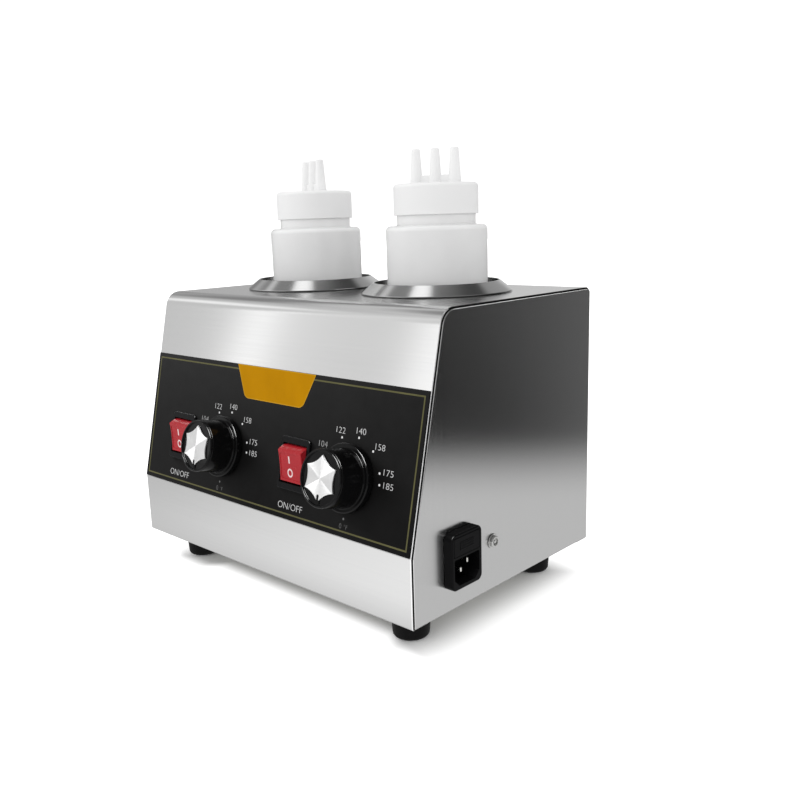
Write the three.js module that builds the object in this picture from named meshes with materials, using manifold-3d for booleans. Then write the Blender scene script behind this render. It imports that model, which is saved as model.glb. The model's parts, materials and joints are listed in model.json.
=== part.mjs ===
// Electric sauce warmer for two squeeze bottles: a folded stainless casing with a sloping control panel,
// two heated wells under conical brims, a thermostat knob and a rocker switch for each well,
// and a fused mains inlet on the right. Lengths are millimetres.
// While it is built, X runs right from the middle of the casing, Y back from its front
// and Z up from its underside.
import * as THREE from 'three';
import { mergeVertices } from 'three/addons/utils/BufferGeometryUtils.js';
import Module from 'manifold-3d';

const wasm = await Module();
wasm.setup();

// Fits shared by many pieces
const gap = 0.3; // between pieces that touch
const drillGap = 0.4; // round a shank or a body in its hole
const overrun = 3; // how far a cutter runs past what it cuts
const weld = 0.0001; // vertices closer than this are one

// Casing
const bodyWidth = 300;
const bodyDepth = 205;
const bodyHeight = 197;
const foldHeight = 47; // where the upright front leans back into the control slope
const slopeSetback = 34.6; // how far the slope has leaned back at the top
const sheet = 1;
const foldRadius = 2;
const topBendRadius = 13;
const backBendRadius = 4;
const hemRadius = 1.5;
const wrapReturn = 14; // the lower edges of the wrap fold inwards this far
const seamStep = 0.9; // the side panels stand this far inside the outline of the wrap
const sideFlange = 9;

// Feet and base plate
const footDrop = 22.8; // from the underside of the casing to the floor
const footInset = 31;
const footRadius = 14;
const footTaper = 1.6;
const footRound = 4;
const footSocketRadius = 5.5;
const footSocketDepth = 12;
const footScrewRadius = 2.1;
const footScrewReach = 6; // shank above the base plate
const panHeadRadius = 4.2;
const panHeadHeight = 2.6;
const baseScrewRadius = 1.8;
const baseScrewHeadRadius = 3.4;
const baseScrewHeadHeight = 2;
const baseScrewReach = 6;
const baseScrewAcross = 95;
const ventLength = 62;
const ventWidth = 5;
const ventPitch = 18;
const ventRows = 3;
const ventAcross = 42;
const ventMidDepth = 120;

// Heated wells, with the brim that covers the hole in the deck
const wellFromFront = 126.2;
const wellRadius = 45.8; // inside
const wellSheet = 0.9;
const wellDepth = 132; // from the deck to the floor of the well
const wellFloorRound = 7;
const brimRadius = 55.8;
const brimHeight = 8.2; // above the deck
const brimGapShare = 0.2865; // of the deck's spare width, between the two brims
const wellHalfPitch = brimRadius + ((bodyWidth - 4 * brimRadius) * brimGapShare) / 2;
const rimWidth = 1.1; // flat edge round the mouth
const deckHoleGap = 0.6;
const clampRingWidth = 8;
const clampRingHeight = 4;

// Heating, insulation and sensing round each well
const heaterThickness = 2.2;
const heaterHeight = 62;
const heaterLift = 16; // lower edge above the outside of the well floor
const heaterSplitDegrees = 22;
const lugLength = 11;
const lugThickness = 1.6;
const lugHeight = 14;
const clampScrewRadius = 1.8;
const clampHeadRadius = 3.6;
const clampHeadHeight = 2.4;
const jacketThickness = 8;
const jacketOverlap = 9; // the jacket is longer than the heater at each end
const jacketSplitDegrees = 44;
const bulbRadius = 3;
const bulbLength = 64;
const capillaryRadius = 1;

// Control slope. Its own axes are X right, Y up the slope from the fold and Z out of the metal.
const labelHeight = 102.6;
const labelStart = 0.9; // above the fold
const labelThickness = 0.5;
const labelMargin = 0.4;
const dialFromWell = { left: 19.3, right: 21.4 }; // right of the middle of each well
const dialUp = 39.9;
const switchToDial = 53.4;

// Knob, its silver star and the thermostat that it turns
const knobRadius = 19;
const knobFlare = 0.7; // the body is this much wider where it meets the skirt
const knobReach = 26.5; // front of the knob above the metal
const knobWall = 2;
const knobEdge = 1.3;
const skirtRadius = 23;
const skirtHeight = 5;
const skirtRound = 2;
const knobBackGap = 0.7; // under the skirt
const knobLip = 1.6;
const faceRecess = 1.5;
const faceThickness = 5;
const bossRadius = 6.5;
const shaftRadius = 3;
const shaftFlat = 2; // from the axis to the flat of the D
const shaftSeat = 6; // length held in the thermostat
const starTipRadius = 15.8;
const starWaistRadius = 10.6; // control point of the hollow sides
const starThickness = 1;
const starPoints = 6;
const starTurn = 0.25; // turns from +X to the first point
const pointerWidth = 2.4;
const pointerStart = 8.7; // from the axis
const thermostatWidth = 44;
const thermostatHeight = 36;
const thermostatDepth = 26;
const thermostatRound = 3;
const bushRadius = 4.8;
const bushReach = 4.5; // above the metal
const bushNutRadius = 8;
const bushNutHeight = 2.2;

// Rocker switch
const bezelWidth = 29.5;
const bezelHeight = 37;
const bezelThickness = 1.7;
const bezelRound = 2.6;
const switchWall = 1.1;
const rockerWidth = 24;
const rockerSwing = 13.6; // radius of its rounded ends about the pivot
const rockerCrown = 7.9; // from the pivot to the middle of its face
const rockerHollow = 0.5; // the face dips this much in the middle
const rockerTail = 2; // body below the pivot
const rockerCrownShares = [0.75, 0.5, 0.25, 0, -0.25, -0.5, -0.75]; // stations along the dished face
const rockerTilt = THREE.MathUtils.degToRad(14.5);
const pivotDepth = 2.8; // below the surface of the metal
const pivotRadius = 1.2;
const pivotReach = 0.5; // into the wall of the housing
const switchCavity = 11.5;
const switchDepth = 24;
const bladeWidth = 6.3;
const bladeThickness = 0.8;
const bladeReach = 8;
const bladePitch = 8;

// Mains inlet with its fuse drawer, on the right side panel
const inletFromFront = 44.7;
const inletUp = 36.8;
const inletWidth = 30.5;
const inletHeight = 37.7;
const inletProud = 7;
const inletRound = 4.5;
const inletEdge = 0.8;
const inletBodyWidth = 27.6;
const inletBodyHeight = 34;
const inletBodyDepth = 23;
const socketWidth = 25.4;
const socketHeight = 17.4;
const socketDrop = 7.2; // below the middle of the inlet
const socketDepth = 16;
const socketChamfer = 4.5;
const socketRound = 1.2;
const pinWidth = 2;
const pinHeight = 4;
const pinSpread = 7;
const pinRise = 2.2; // line and neutral above the middle of the socket
const earthPinDrop = 2.4; // earth below it
const pinShort = 4; // tips below the face of the inlet
const pinTail = 7; // behind the inlet
const drawerRise = 9.6; // above the middle of the inlet
const drawerWidth = 26;
const drawerHeight = 12.4;
const drawerFace = 2.2;
const drawerProud = 0.4;
const drawerTrayWidth = 23.6;
const drawerTrayHeight = 9.4;
const drawerTrayLength = 21;
const drawerWall = 1.5;
const gripLength = 13;
const gripHeight = 1;
const gripPitch = 2.4;
const gripCount = 3;
const fuseRadius = 2.6;
const fuseLength = 20;

// Earth terminal beside the inlet
const earthFromFront = 80.8;
const earthUp = 35.4;
const earthWasherRadius = 5.3;
const earthWasherHeight = 0.9;
const earthHeadRadius = 3.9;
const earthHeadHeight = 3;
const earthShankRadius = 2.3;
const earthReach = 9; // shank inside the panel
const earthNutRadius = 4.6;
const earthNutHeight = 3.4;
const driverLength = 4.6;
const driverWidth = 1;
const driverDepth = 1.5;

// Squeeze bottles and their three-nozzle caps
const bottleRadius = 37;
const bottleHeight = 180; // to the top of the shoulder
const bottleWall = 1.6;
const bottleHeelRound = 5;
const shoulderRound = 3.6;
const pushUp = 2.5; // hollow under the base
const neckRadius = 28.6;
const capLift = 7.6; // neck that shows between shoulder and cap
const capRadius = 30.7;
const capWall = 1.6;
const capHeight = 21.8;
const capRound = 2;
const nozzlePitch = 14.7;
const nozzleHeight = 24.8;
const nozzleRootRadius = 4.5;
const nozzleTipRadius = 2.9;
const nozzleTipRound = 1.2;
const nozzleBore = 1.3;
const webHeight = 5.4;
const webThickness = 3.4;
const nozzleTurn = { left: THREE.MathUtils.degToRad(-19.3), right: THREE.MathUtils.degToRad(20.6) };
const bottleDrift = { left: 1.6, right: 0.6 }; // right of, and behind, the middle of the well

// Wiring
const blockLength = 46;
const blockDepth = 20;
const blockHeight = 15;
const blockFromRight = 92;
const blockFromFront = 62;
const blockHoleRadius = 2.2;
const blockWays = 4;
const wireRadius = 1.3;
const wireEndGap = 0.5;

// Facets
const wellSides = 32;
const bottleSides = 28;
const knobSides = 24;
const footSides = 16;
const boreSides = 12;
const smallSides = 8;
const bendSteps = 5;
const smallSteps = 2;
const wireSteps = 16;
const wireSides = 5;

// Finishes, read from the photograph
const finish = (color, roughness, metalness) =>
  new THREE.MeshStandardMaterial({ color, roughness, metalness });
const steel = finish(0xd0d0ce, 0.3, 1);
const brushedSteel = finish(0xb4b4b2, 0.35, 1);
const zincSteel = finish(0xa4a39c, 0.45, 1);
const rubber = finish(0x0d0d0d, 0.8, 0);
const labelFilm = finish(0x262524, 0.45, 0);
const blackPlastic = finish(0x0a0a0b, 0.25, 0);
const redPlastic = finish(0xc62c38, 0.3, 0);
const silverFoil = finish(0xdedede, 0.25, 1);
const brass = finish(0xb99a4a, 0.35, 1);
const mica = finish(0x9b8458, 0.6, 0.2);
const wool = finish(0xd9d4c5, 0.95, 0);
const bottlePlastic = finish(0xeeeeec, 0.35, 0);
const glass = finish(0xdfe6e6, 0.1, 0);
const wireBrown = finish(0x5b3420, 0.5, 0);
const wireBlue = finish(0x24508f, 0.5, 0);
const wireGreen = finish(0x5c8f2e, 0.5, 0);

// One closed surface with shared vertices, no flattened triangles and its faces pointing out.
function closed(geometry) {
  const bare = new THREE.BufferGeometry();
  bare.setAttribute('position', geometry.getAttribute('position'));
  bare.setIndex(geometry.index);
  const merged = mergeVertices(bare, weld);
  const corners = merged.index.array;
  const point = merged.getAttribute('position');
  const [a, b, c] = [new THREE.Vector3(), new THREE.Vector3(), new THREE.Vector3()];
  const kept = [];
  let volume = 0;
  for (let i = 0; i < corners.length; i += 3) {
    const [p, q, r] = corners.slice(i, i + 3);
    if (p === q || q === r || r === p) continue;
    kept.push(p, q, r);
    a.fromBufferAttribute(point, p);
    b.fromBufferAttribute(point, q);
    c.fromBufferAttribute(point, r);
    volume += a.dot(b.cross(c));
  }
  merged.setIndex(volume < 0 ? kept.reverse() : kept);
  return merged;
}

function solid(geometry) {
  const shell = closed(geometry);
  const vertProperties = new Float32Array(shell.getAttribute('position').array);
  const triVerts = new Uint32Array(shell.index.array);
  return new wasm.Manifold(new wasm.Mesh({ numProp: 3, vertProperties, triVerts }));
}

function meshed(body) {
  const { vertProperties, triVerts } = body.getMesh();
  const geometry = new THREE.BufferGeometry();
  geometry.setAttribute('position', new THREE.BufferAttribute(vertProperties, 3));
  geometry.setIndex(new THREE.BufferAttribute(triVerts, 1));
  return geometry;
}

const cut = (base, ...tools) =>
  meshed(tools.reduce((body, tool) => body.subtract(solid(tool)), solid(base)));
const join = (first, ...others) =>
  meshed(others.reduce((body, other) => body.add(solid(other)), solid(first)));

// Points round a polygon or along an open profile, with each corner given as [x, y, radius].
// A radius that is left out, or is zero, keeps the corner sharp.
function rounded(corners, steps, isOpen = false) {
  const points = [];
  corners.forEach(([x, y, radius = 0], i) => {
    const here = new THREE.Vector2(x, y);
    const isEnd = isOpen && (i === 0 || i === corners.length - 1);
    if (radius <= 0 || isEnd) {
      points.push(here);
      return;
    }
    const before = new THREE.Vector2(...corners.at(i - 1).slice(0, 2)).sub(here);
    const after = new THREE.Vector2(...corners[(i + 1) % corners.length].slice(0, 2)).sub(here);
    const half = Math.acos(before.dot(after) / before.length() / after.length()) / 2;
    const middle = before.clone().normalize().add(after.clone().normalize()).normalize();
    const centre = here.clone().addScaledVector(middle, radius / Math.sin(half));
    const start = here.clone().addScaledVector(before.normalize(), radius / Math.tan(half)).sub(centre);
    const turn = (Math.PI - 2 * half) * Math.sign(start.cross(middle.clone().negate()));
    for (let step = 0; step <= steps; step++) {
      points.push(start.clone().rotateAround(new THREE.Vector2(), (turn * step) / steps).add(centre));
    }
  });
  return points;
}

// A convex outline of [x, y, radius] corners drawn inwards by one distance.
function inset(corners, distance) {
  return corners.map(([x, y, radius = 0], i) => {
    const here = new THREE.Vector2(x, y);
    const toBefore = new THREE.Vector2(...corners.at(i - 1).slice(0, 2)).sub(here);
    const toAfter = new THREE.Vector2(...corners[(i + 1) % corners.length].slice(0, 2)).sub(here);
    const half = Math.acos(toBefore.dot(toAfter) / toBefore.length() / toAfter.length()) / 2;
    const middle = toBefore.normalize().add(toAfter.normalize()).normalize();
    here.addScaledVector(middle, distance / Math.sin(half));
    return [here.x, here.y, Math.max(radius - distance, 0)];
  });
}

const oblong = (width, height, radius = 0, x = 0, y = 0) => [
  [x - width / 2, y - height / 2, radius],
  [x + width / 2, y - height / 2, radius],
  [x + width / 2, y + height / 2, radius],
  [x - width / 2, y + height / 2, radius],
];

// Prisms: an outline on XY raised from one height to another.
function prism(corners, low, high, steps = smallSteps) {
  const shape = new THREE.Shape(rounded(corners, steps));
  const geometry = new THREE.ExtrudeGeometry(shape, { depth: high - low, bevelEnabled: false });
  return geometry.translate(0, 0, low);
}

function rod(radius, low, high, x = 0, y = 0, sides = smallSides) {
  const geometry = new THREE.CylinderGeometry(radius, radius, high - low, sides);
  return geometry.rotateX(Math.PI / 2).translate(x, y, (low + high) / 2);
}

// Turns a profile of [radius, height, corner radius] about Z.
// It starts and ends on the axis, or is a ring that closes on itself.
function turned(corners, sides, steps = smallSteps) {
  const isRing = corners[0][0] > 0;
  const points = rounded(corners, steps, !isRing);
  if (isRing) points.push(points[0].clone());
  return new THREE.LatheGeometry(points, sides).rotateX(Math.PI / 2);
}

// A point on a circle, counted in turns from +X.
function polar(radius, turns) {
  const angle = 2 * Math.PI * turns;
  return new THREE.Vector2(radius * Math.cos(angle), radius * Math.sin(angle));
}

// A tube of round section along a smooth curve through hand-chosen points.
function tube(points, radius, steps, sides) {
  const section = new THREE.Shape(Array.from({ length: sides }, (_, i) => polar(radius, i / sides)));
  const extrudePath = new THREE.CatmullRomCurve3(points.map((p) => new THREE.Vector3(...p)));
  return new THREE.ExtrudeGeometry(section, { steps, extrudePath, bevelEnabled: false });
}

// Frames: the whole product, the control slope and the right side panel
const warmer = new THREE.Group();
const casing = new THREE.Group();
warmer.add(casing);

const slopeLean = Math.atan2(slopeSetback, bodyHeight - foldHeight);
const slope = new THREE.Group();
slope.position.set(0, 0, foldHeight);
slope.rotation.x = Math.PI / 2 - slopeLean;
casing.add(slope);

const acrossX = new THREE.Matrix4().makeBasis(
  new THREE.Vector3(0, 1, 0),
  new THREE.Vector3(0, 0, 1),
  new THREE.Vector3(1, 0, 0),
);
const rightSide = new THREE.Group();
rightSide.applyMatrix4(acrossX.clone().setPosition(bodyWidth / 2, 0, 0));
casing.add(rightSide);
casing.updateMatrixWorld(true);

const onSlope = (geometry) => geometry.applyMatrix4(slope.matrixWorld);
const onRightSide = (geometry) => geometry.applyMatrix4(rightSide.matrixWorld);

function add(name, geometry, material, parent = casing) {
  const mesh = new THREE.Mesh(closed(geometry), material);
  mesh.name = name;
  parent.add(mesh);
  return mesh;
}

const bothSides = [
  { side: 'left', sign: -1, dialAcross: dialFromWell.left - wellHalfPitch },
  { side: 'right', sign: 1, dialAcross: dialFromWell.right + wellHalfPitch },
];
const fourCorners = [
  { corner: 'front_left', x: -1, isBack: false },
  { corner: 'front_right', x: 1, isBack: false },
  { corner: 'back_left', x: -1, isBack: true },
  { corner: 'back_right', x: 1, isBack: true },
];
const footAcross = bodyWidth / 2 - footInset;
const footAlong = (isBack) => (isBack ? bodyDepth - footInset : footInset);
const baseScrewAlong = (isBack) => (isBack ? bodyDepth - wrapReturn / 2 : wrapReturn / 2);

// Outline of the casing seen from the right: X is the depth and Y the height
const outline = [
  [0, 0, hemRadius],
  [0, foldHeight, foldRadius],
  [slopeSetback, bodyHeight, topBendRadius],
  [bodyDepth, bodyHeight, backBendRadius],
  [bodyDepth, 0, hemRadius],
];
const wrapHalfWidth = bodyWidth / 2 - sheet - gap;
const deckHoleRadius = wellRadius + wellSheet + deckHoleGap;
const bushHoleRadius = bushRadius + drillGap;
const cavityWidth = rockerWidth + 2 * gap;
const cavityHeight = 2 * (rockerSwing + drillGap);
const switchBodyWidth = cavityWidth + 2 * switchWall;
const switchBodyHeight = cavityHeight + 2 * switchWall;
const switchHole = (across, low, high) =>
  prism(oblong(switchBodyWidth + 2 * gap, switchBodyHeight + 2 * gap, 0, across, dialUp), low, high);

// Wrap: front, slope, deck and back folded from one sheet, with a return along each lower edge
function wrapShell() {
  const inner = inset(outline, sheet);
  const section = [
    [wrapReturn, 0],
    ...outline,
    [bodyDepth - wrapReturn, 0],
    [bodyDepth - wrapReturn, sheet],
    ...inner.toReversed(),
    [wrapReturn, sheet],
  ];
  const blank = prism(section, -wrapHalfWidth, wrapHalfWidth, bendSteps).applyMatrix4(acrossX);
  const tools = [];
  for (const { sign, dialAcross } of bothSides) {
    const [x, y] = [sign * wellHalfPitch, wellFromFront];
    tools.push(rod(deckHoleRadius, bodyHeight - overrun, bodyHeight + overrun, x, y, wellSides));
    tools.push(onSlope(rod(bushHoleRadius, -overrun, overrun, dialAcross, dialUp, boreSides)));
    tools.push(onSlope(switchHole(dialAcross - switchToDial, -overrun, overrun)));
  }
  for (const { x, isBack } of fourCorners) {
    const radius = baseScrewRadius + drillGap;
    tools.push(rod(radius, -overrun, overrun, x * baseScrewAcross, baseScrewAlong(isBack)));
  }
  return cut(blank, ...tools);
}

// Side panel: a flat plate whose flange fits inside the wrap, down to the base plate
const basePlateLow = sheet + gap;
const basePlateHigh = basePlateLow + sheet;
function sidePanel() {
  const plate = prism(inset(outline, seamStep), -sheet, 0, bendSteps);
  const flangeOuter = inset(outline, sheet + gap);
  const flange = cut(
    prism(flangeOuter, -sideFlange, -sheet / 2, bendSteps),
    prism(inset(flangeOuter, sheet), -sideFlange - overrun, overrun, bendSteps),
    prism(oblong(bodyDepth, 2 * (basePlateHigh + gap), 0, bodyDepth / 2), -sideFlange - overrun, overrun),
  );
  return join(plate, flange);
}

const inletHole = () =>
  prism(
    oblong(inletBodyWidth + 2 * gap, inletBodyHeight + 2 * gap, 0, inletFromFront, inletUp),
    -sideFlange,
    overrun,
  );

function addCasing() {
  add('wrap_shell', wrapShell(), steel);
  const earthHole = rod(earthShankRadius + drillGap, -sideFlange, overrun, earthFromFront, earthUp);
  add('side_panel_right', onRightSide(cut(sidePanel(), inletHole(), earthHole)), steel);
  add('side_panel_left', onRightSide(sidePanel()).scale(-1, 1, 1), steel);
}

// Base plate: lies on the returns of the wrap, with vents, between the side panels
function basePlate() {
  const room = sheet + gap;
  const blank = prism(
    oblong(bodyWidth - 2 * room, bodyDepth - 2 * room, 0, 0, bodyDepth / 2),
    basePlateLow,
    basePlateHigh,
  );
  const tools = [];
  for (const { x, isBack } of fourCorners) {
    const [low, high] = [basePlateLow - overrun, basePlateHigh + overrun];
    tools.push(rod(footScrewRadius + drillGap, low, high, x * footAcross, footAlong(isBack)));
    tools.push(rod(baseScrewRadius + drillGap, low, high, x * baseScrewAcross, baseScrewAlong(isBack)));
  }
  for (const { sign } of bothSides) {
    for (let row = 0; row < ventRows; row++) {
      const along = ventMidDepth + (row - (ventRows - 1) / 2) * ventPitch;
      const slot = oblong(ventLength, ventWidth, ventWidth / 2 - gap, sign * ventAcross, along);
      tools.push(prism(slot, basePlateLow - overrun, basePlateHigh + overrun));
    }
  }
  return cut(blank, ...tools);
}

const footTop = basePlateLow - gap;
const footSeat = footSocketDepth - footDrop; // ceiling of the screw socket
function foot() {
  const bore = footScrewRadius + drillGap;
  const profile = [
    [bore, footTop],
    [bore, footSeat],
    [footSocketRadius, footSeat],
    [footSocketRadius, -footDrop],
    [footRadius - footTaper, -footDrop, footRound],
    [footRadius, footTop],
  ];
  return turned(profile, footSides);
}

const footScrew = () =>
  turned(
    [
      [0, footSeat - gap - panHeadHeight],
      [panHeadRadius, footSeat - gap - panHeadHeight, panHeadHeight / 2],
      [panHeadRadius, footSeat - gap],
      [footScrewRadius, footSeat - gap],
      [footScrewRadius, basePlateHigh + footScrewReach],
      [0, basePlateHigh + footScrewReach],
    ],
    smallSides,
  );

const baseScrew = () =>
  turned(
    [
      [0, -gap - baseScrewHeadHeight],
      [baseScrewHeadRadius, -gap - baseScrewHeadHeight, baseScrewHeadHeight / 2],
      [baseScrewHeadRadius, -gap],
      [baseScrewRadius, -gap],
      [baseScrewRadius, basePlateHigh + baseScrewReach],
      [0, basePlateHigh + baseScrewReach],
    ],
    smallSides,
  );

function addUnderside() {
  add('base_plate', basePlate(), zincSteel);
  for (const { corner, x, isBack } of fourCorners) {
    const place = [x * footAcross, footAlong(isBack), 0];
    add(`foot_${corner}`, foot(), rubber).position.set(...place);
    add(`foot_screw_${corner}`, footScrew(), zincSteel).position.set(...place);
    const screw = add(`base_screw_${corner}`, baseScrew(), zincSteel);
    screw.position.set(x * baseScrewAcross, baseScrewAlong(isBack), 0);
  }
}

// Well: a deep cup whose rim rolls out and down into the conical brim. Height zero is the deck.
const wellOuter = wellRadius + wellSheet;
function well() {
  const profile = [
    [0, -wellDepth],
    [wellRadius, -wellDepth, wellFloorRound],
    [wellRadius, brimHeight],
    [wellRadius + rimWidth, brimHeight],
    [brimRadius, gap + wellSheet / 2],
    [brimRadius, gap],
    [brimRadius - wellSheet, gap],
    [wellRadius + rimWidth, brimHeight - 2 * wellSheet],
    [wellOuter, brimHeight - 2 * wellSheet],
    [wellOuter, -wellDepth - wellSheet, wellFloorRound + wellSheet],
    [0, -wellDepth - wellSheet],
  ];
  return turned(profile, wellSides);
}

// Clamp ring: held under the deck, round the well
const clampRing = () =>
  turned(
    [
      [wellOuter + gap, -sheet - gap],
      [wellOuter + gap, -sheet - gap - clampRingHeight],
      [wellOuter + clampRingWidth, -sheet - gap - clampRingHeight],
      [wellOuter + clampRingWidth, -sheet - gap],
    ],
    wellSides,
  );

// A band round Z from one radius to another, left open at the back
function splitBand(inner, outer, splitDegrees, low, high) {
  const open = THREE.MathUtils.degToRad(splitDegrees) / 2;
  const [start, end] = [Math.PI / 2 + open, (Math.PI * 5) / 2 - open];
  const points = [];
  for (let i = 0; i <= wellSides; i++) {
    const angle = start + ((end - start) * i) / wellSides;
    points.push([outer * Math.cos(angle), outer * Math.sin(angle)]);
  }
  for (let i = wellSides; i >= 0; i--) {
    const angle = start + ((end - start) * i) / wellSides;
    points.push([inner * Math.cos(angle), inner * Math.sin(angle)]);
  }
  return prism(points, low, high);
}

const wellUnder = -wellDepth - wellSheet;
const heaterInner = wellOuter + gap;
const heaterOuter = heaterInner + heaterThickness;
const heaterLow = wellUnder + heaterLift;
const heaterMiddle = heaterLow + heaterHeight / 2;
const lugAngle = THREE.MathUtils.degToRad(heaterSplitDegrees) / 2;
const lugRoot = heaterInner * Math.cos(lugAngle);
const lugAcross = heaterInner * Math.sin(lugAngle); // inner face of a lug, from the middle of the split
const lugTip = heaterOuter + lugLength;
const lugScrewAlong = lugTip - lugLength / 2;

// Heater: a flat band in a metal sheath, pulled tight round the well by a screw through its two lugs
function bandHeater() {
  const band = splitBand(heaterInner, heaterOuter, heaterSplitDegrees, heaterLow, heaterLow + heaterHeight);
  const lugs = bothSides.map(({ sign }) => {
    const middle = [sign * (lugAcross + lugThickness / 2), (lugTip + lugRoot) / 2];
    const lug = oblong(lugThickness, lugTip - lugRoot, 0, ...middle);
    return prism(lug, heaterMiddle - lugHeight / 2, heaterMiddle + lugHeight / 2);
  });
  const hole = rod(clampScrewRadius + drillGap, -lugAcross * 2, lugAcross * 2).rotateY(Math.PI / 2);
  return cut(join(band, ...lugs), hole.translate(0, lugScrewAlong, heaterMiddle));
}

function clampScrew() {
  const seat = lugAcross + lugThickness + gap;
  const profile = [
    [0, -seat - clampHeadHeight],
    [clampHeadRadius, -seat - clampHeadHeight],
    [clampHeadRadius, -seat],
    [clampScrewRadius, -seat],
    [clampScrewRadius, seat],
    [clampHeadRadius, seat],
    [clampHeadRadius, seat + clampHeadHeight],
    [0, seat + clampHeadHeight],
  ];
  return turned(profile, smallSides).rotateY(Math.PI / 2).translate(0, lugScrewAlong, heaterMiddle);
}

const jacketInner = heaterOuter + gap;
const jacket = () =>
  splitBand(
    jacketInner,
    jacketInner + jacketThickness,
    jacketSplitDegrees,
    heaterLow - jacketOverlap,
    heaterLow + heaterHeight + jacketOverlap,
  );

function addWells() {
  for (const { side, sign } of bothSides) {
    const place = [sign * wellHalfPitch, wellFromFront, bodyHeight];
    add(`well_${side}`, well(), brushedSteel).position.set(...place);
    add(`well_clamp_ring_${side}`, clampRing(), zincSteel).position.set(...place);
    add(`band_heater_${side}`, bandHeater(), mica).position.set(...place);
    add(`heater_clamp_screw_${side}`, clampScrew(), zincSteel).position.set(...place);
    add(`insulation_jacket_${side}`, jacket(), wool).position.set(...place);
  }
}

// Control label: a thin printed plate that covers the slope from edge to edge
const labelFace = gap + labelThickness;
function controlLabel() {
  const width = 2 * (wrapHalfWidth - labelMargin);
  const blank = prism(oblong(width, labelHeight, 0, 0, labelStart + labelHeight / 2), gap, labelFace);
  const tools = bothSides.flatMap(({ dialAcross }) => [
    rod(bushHoleRadius, -overrun, overrun, dialAcross, dialUp, boreSides),
    switchHole(dialAcross - switchToDial, -overrun, overrun),
  ]);
  return cut(blank, ...tools);
}

// Thermostat: a box behind the slope, held by a nut on its threaded bush
const thermostatFront = -sheet - gap;
const thermostatBack = thermostatFront - thermostatDepth;
const shaftBore = shaftRadius + drillGap;
function thermostat() {
  const face = oblong(thermostatWidth, thermostatHeight, thermostatRound);
  const box = prism(face, thermostatBack, thermostatFront);
  const bush = rod(bushRadius, thermostatFront - overrun, bushReach, 0, 0, boreSides);
  const bore = rod(shaftBore, thermostatFront - shaftSeat, bushReach + overrun, 0, 0, boreSides);
  return cut(join(box, bush), bore);
}

const bushNut = () =>
  cut(
    rod(bushNutRadius, labelFace + gap, labelFace + gap + bushNutHeight, 0, 0, 6),
    rod(bushRadius + drillGap, -overrun, bushReach + overrun, 0, 0, boreSides),
  );

// The D section of the shaft, and of the bore that takes it
function dSection(radius, flat) {
  const half = Math.acos(flat / radius);
  return Array.from({ length: boreSides + 1 }, (_, i) => {
    const angle = Math.PI / 2 + half + ((2 * Math.PI - 2 * half) * i) / boreSides;
    return [radius * Math.cos(angle), radius * Math.sin(angle)];
  });
}

const knobBack = labelFace + knobBackGap;
const knobFloor = knobReach - faceRecess;
const boreEnd = knobFloor - faceThickness / 2;
const hollowEnd = knobFloor - faceThickness;
const shaftEnd = boreEnd - gap;
const thermostatShaft = () =>
  prism(dSection(shaftRadius, shaftFlat), thermostatFront - shaftSeat + gap, shaftEnd);

// Knob: a hollow cap with a skirt, a boss for the shaft, and a dished face with a raised pointer
function knob() {
  const profile = [
    [0, hollowEnd],
    [knobRadius - knobWall, hollowEnd],
    [knobRadius - knobWall, knobBack],
    [skirtRadius, knobBack],
    [skirtRadius, knobBack + skirtHeight, skirtRound],
    [knobRadius + knobFlare, knobBack + skirtHeight],
    [knobRadius, knobReach, knobEdge],
    [knobRadius - knobLip, knobReach],
    [knobRadius - knobLip, knobFloor],
    [0, knobFloor],
  ];
  const bossLow = bushReach + gap * 2;
  const boss = rod(bossRadius, bossLow, hollowEnd + faceThickness / 4, 0, 0, boreSides);
  const faceRadius = knobRadius - knobLip;
  const ribMiddle = -(pointerStart + gap + faceRadius) / 2;
  const rib = prism(
    oblong(pointerWidth - 2 * gap, faceRadius - pointerStart, 0, 0, ribMiddle),
    knobFloor - faceRecess / 2,
    knobFloor + starThickness,
  );
  const bore = prism(dSection(shaftRadius + gap, shaftFlat + gap), bossLow - overrun, boreEnd);
  return cut(join(turned(profile, knobSides), boss, rib), bore);
}

// Star: six points with hollow sides. The lowest point is split by the pointer.
function knobStar() {
  const shape = new THREE.Shape();
  const tip = (i) => polar(starTipRadius, i / starPoints + starTurn).toArray();
  const waist = (i) => polar(starWaistRadius, (i + 1 / 2) / starPoints + starTurn).toArray();
  shape.moveTo(...tip(0));
  for (let i = 0; i < starPoints; i++) shape.quadraticCurveTo(...waist(i), ...tip(i + 1));
  const low = knobFloor + gap;
  const options = { depth: starThickness, bevelEnabled: false, curveSegments: 5 };
  const star = new THREE.ExtrudeGeometry(shape, options).translate(0, 0, low);
  const notchMiddle = -(pointerStart + starTipRadius + overrun) / 2;
  const notch = prism(
    oblong(pointerWidth, starTipRadius + overrun - pointerStart, 0, 0, notchMiddle),
    low - overrun,
    low + starThickness + overrun,
  );
  return cut(star, notch);
}

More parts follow.
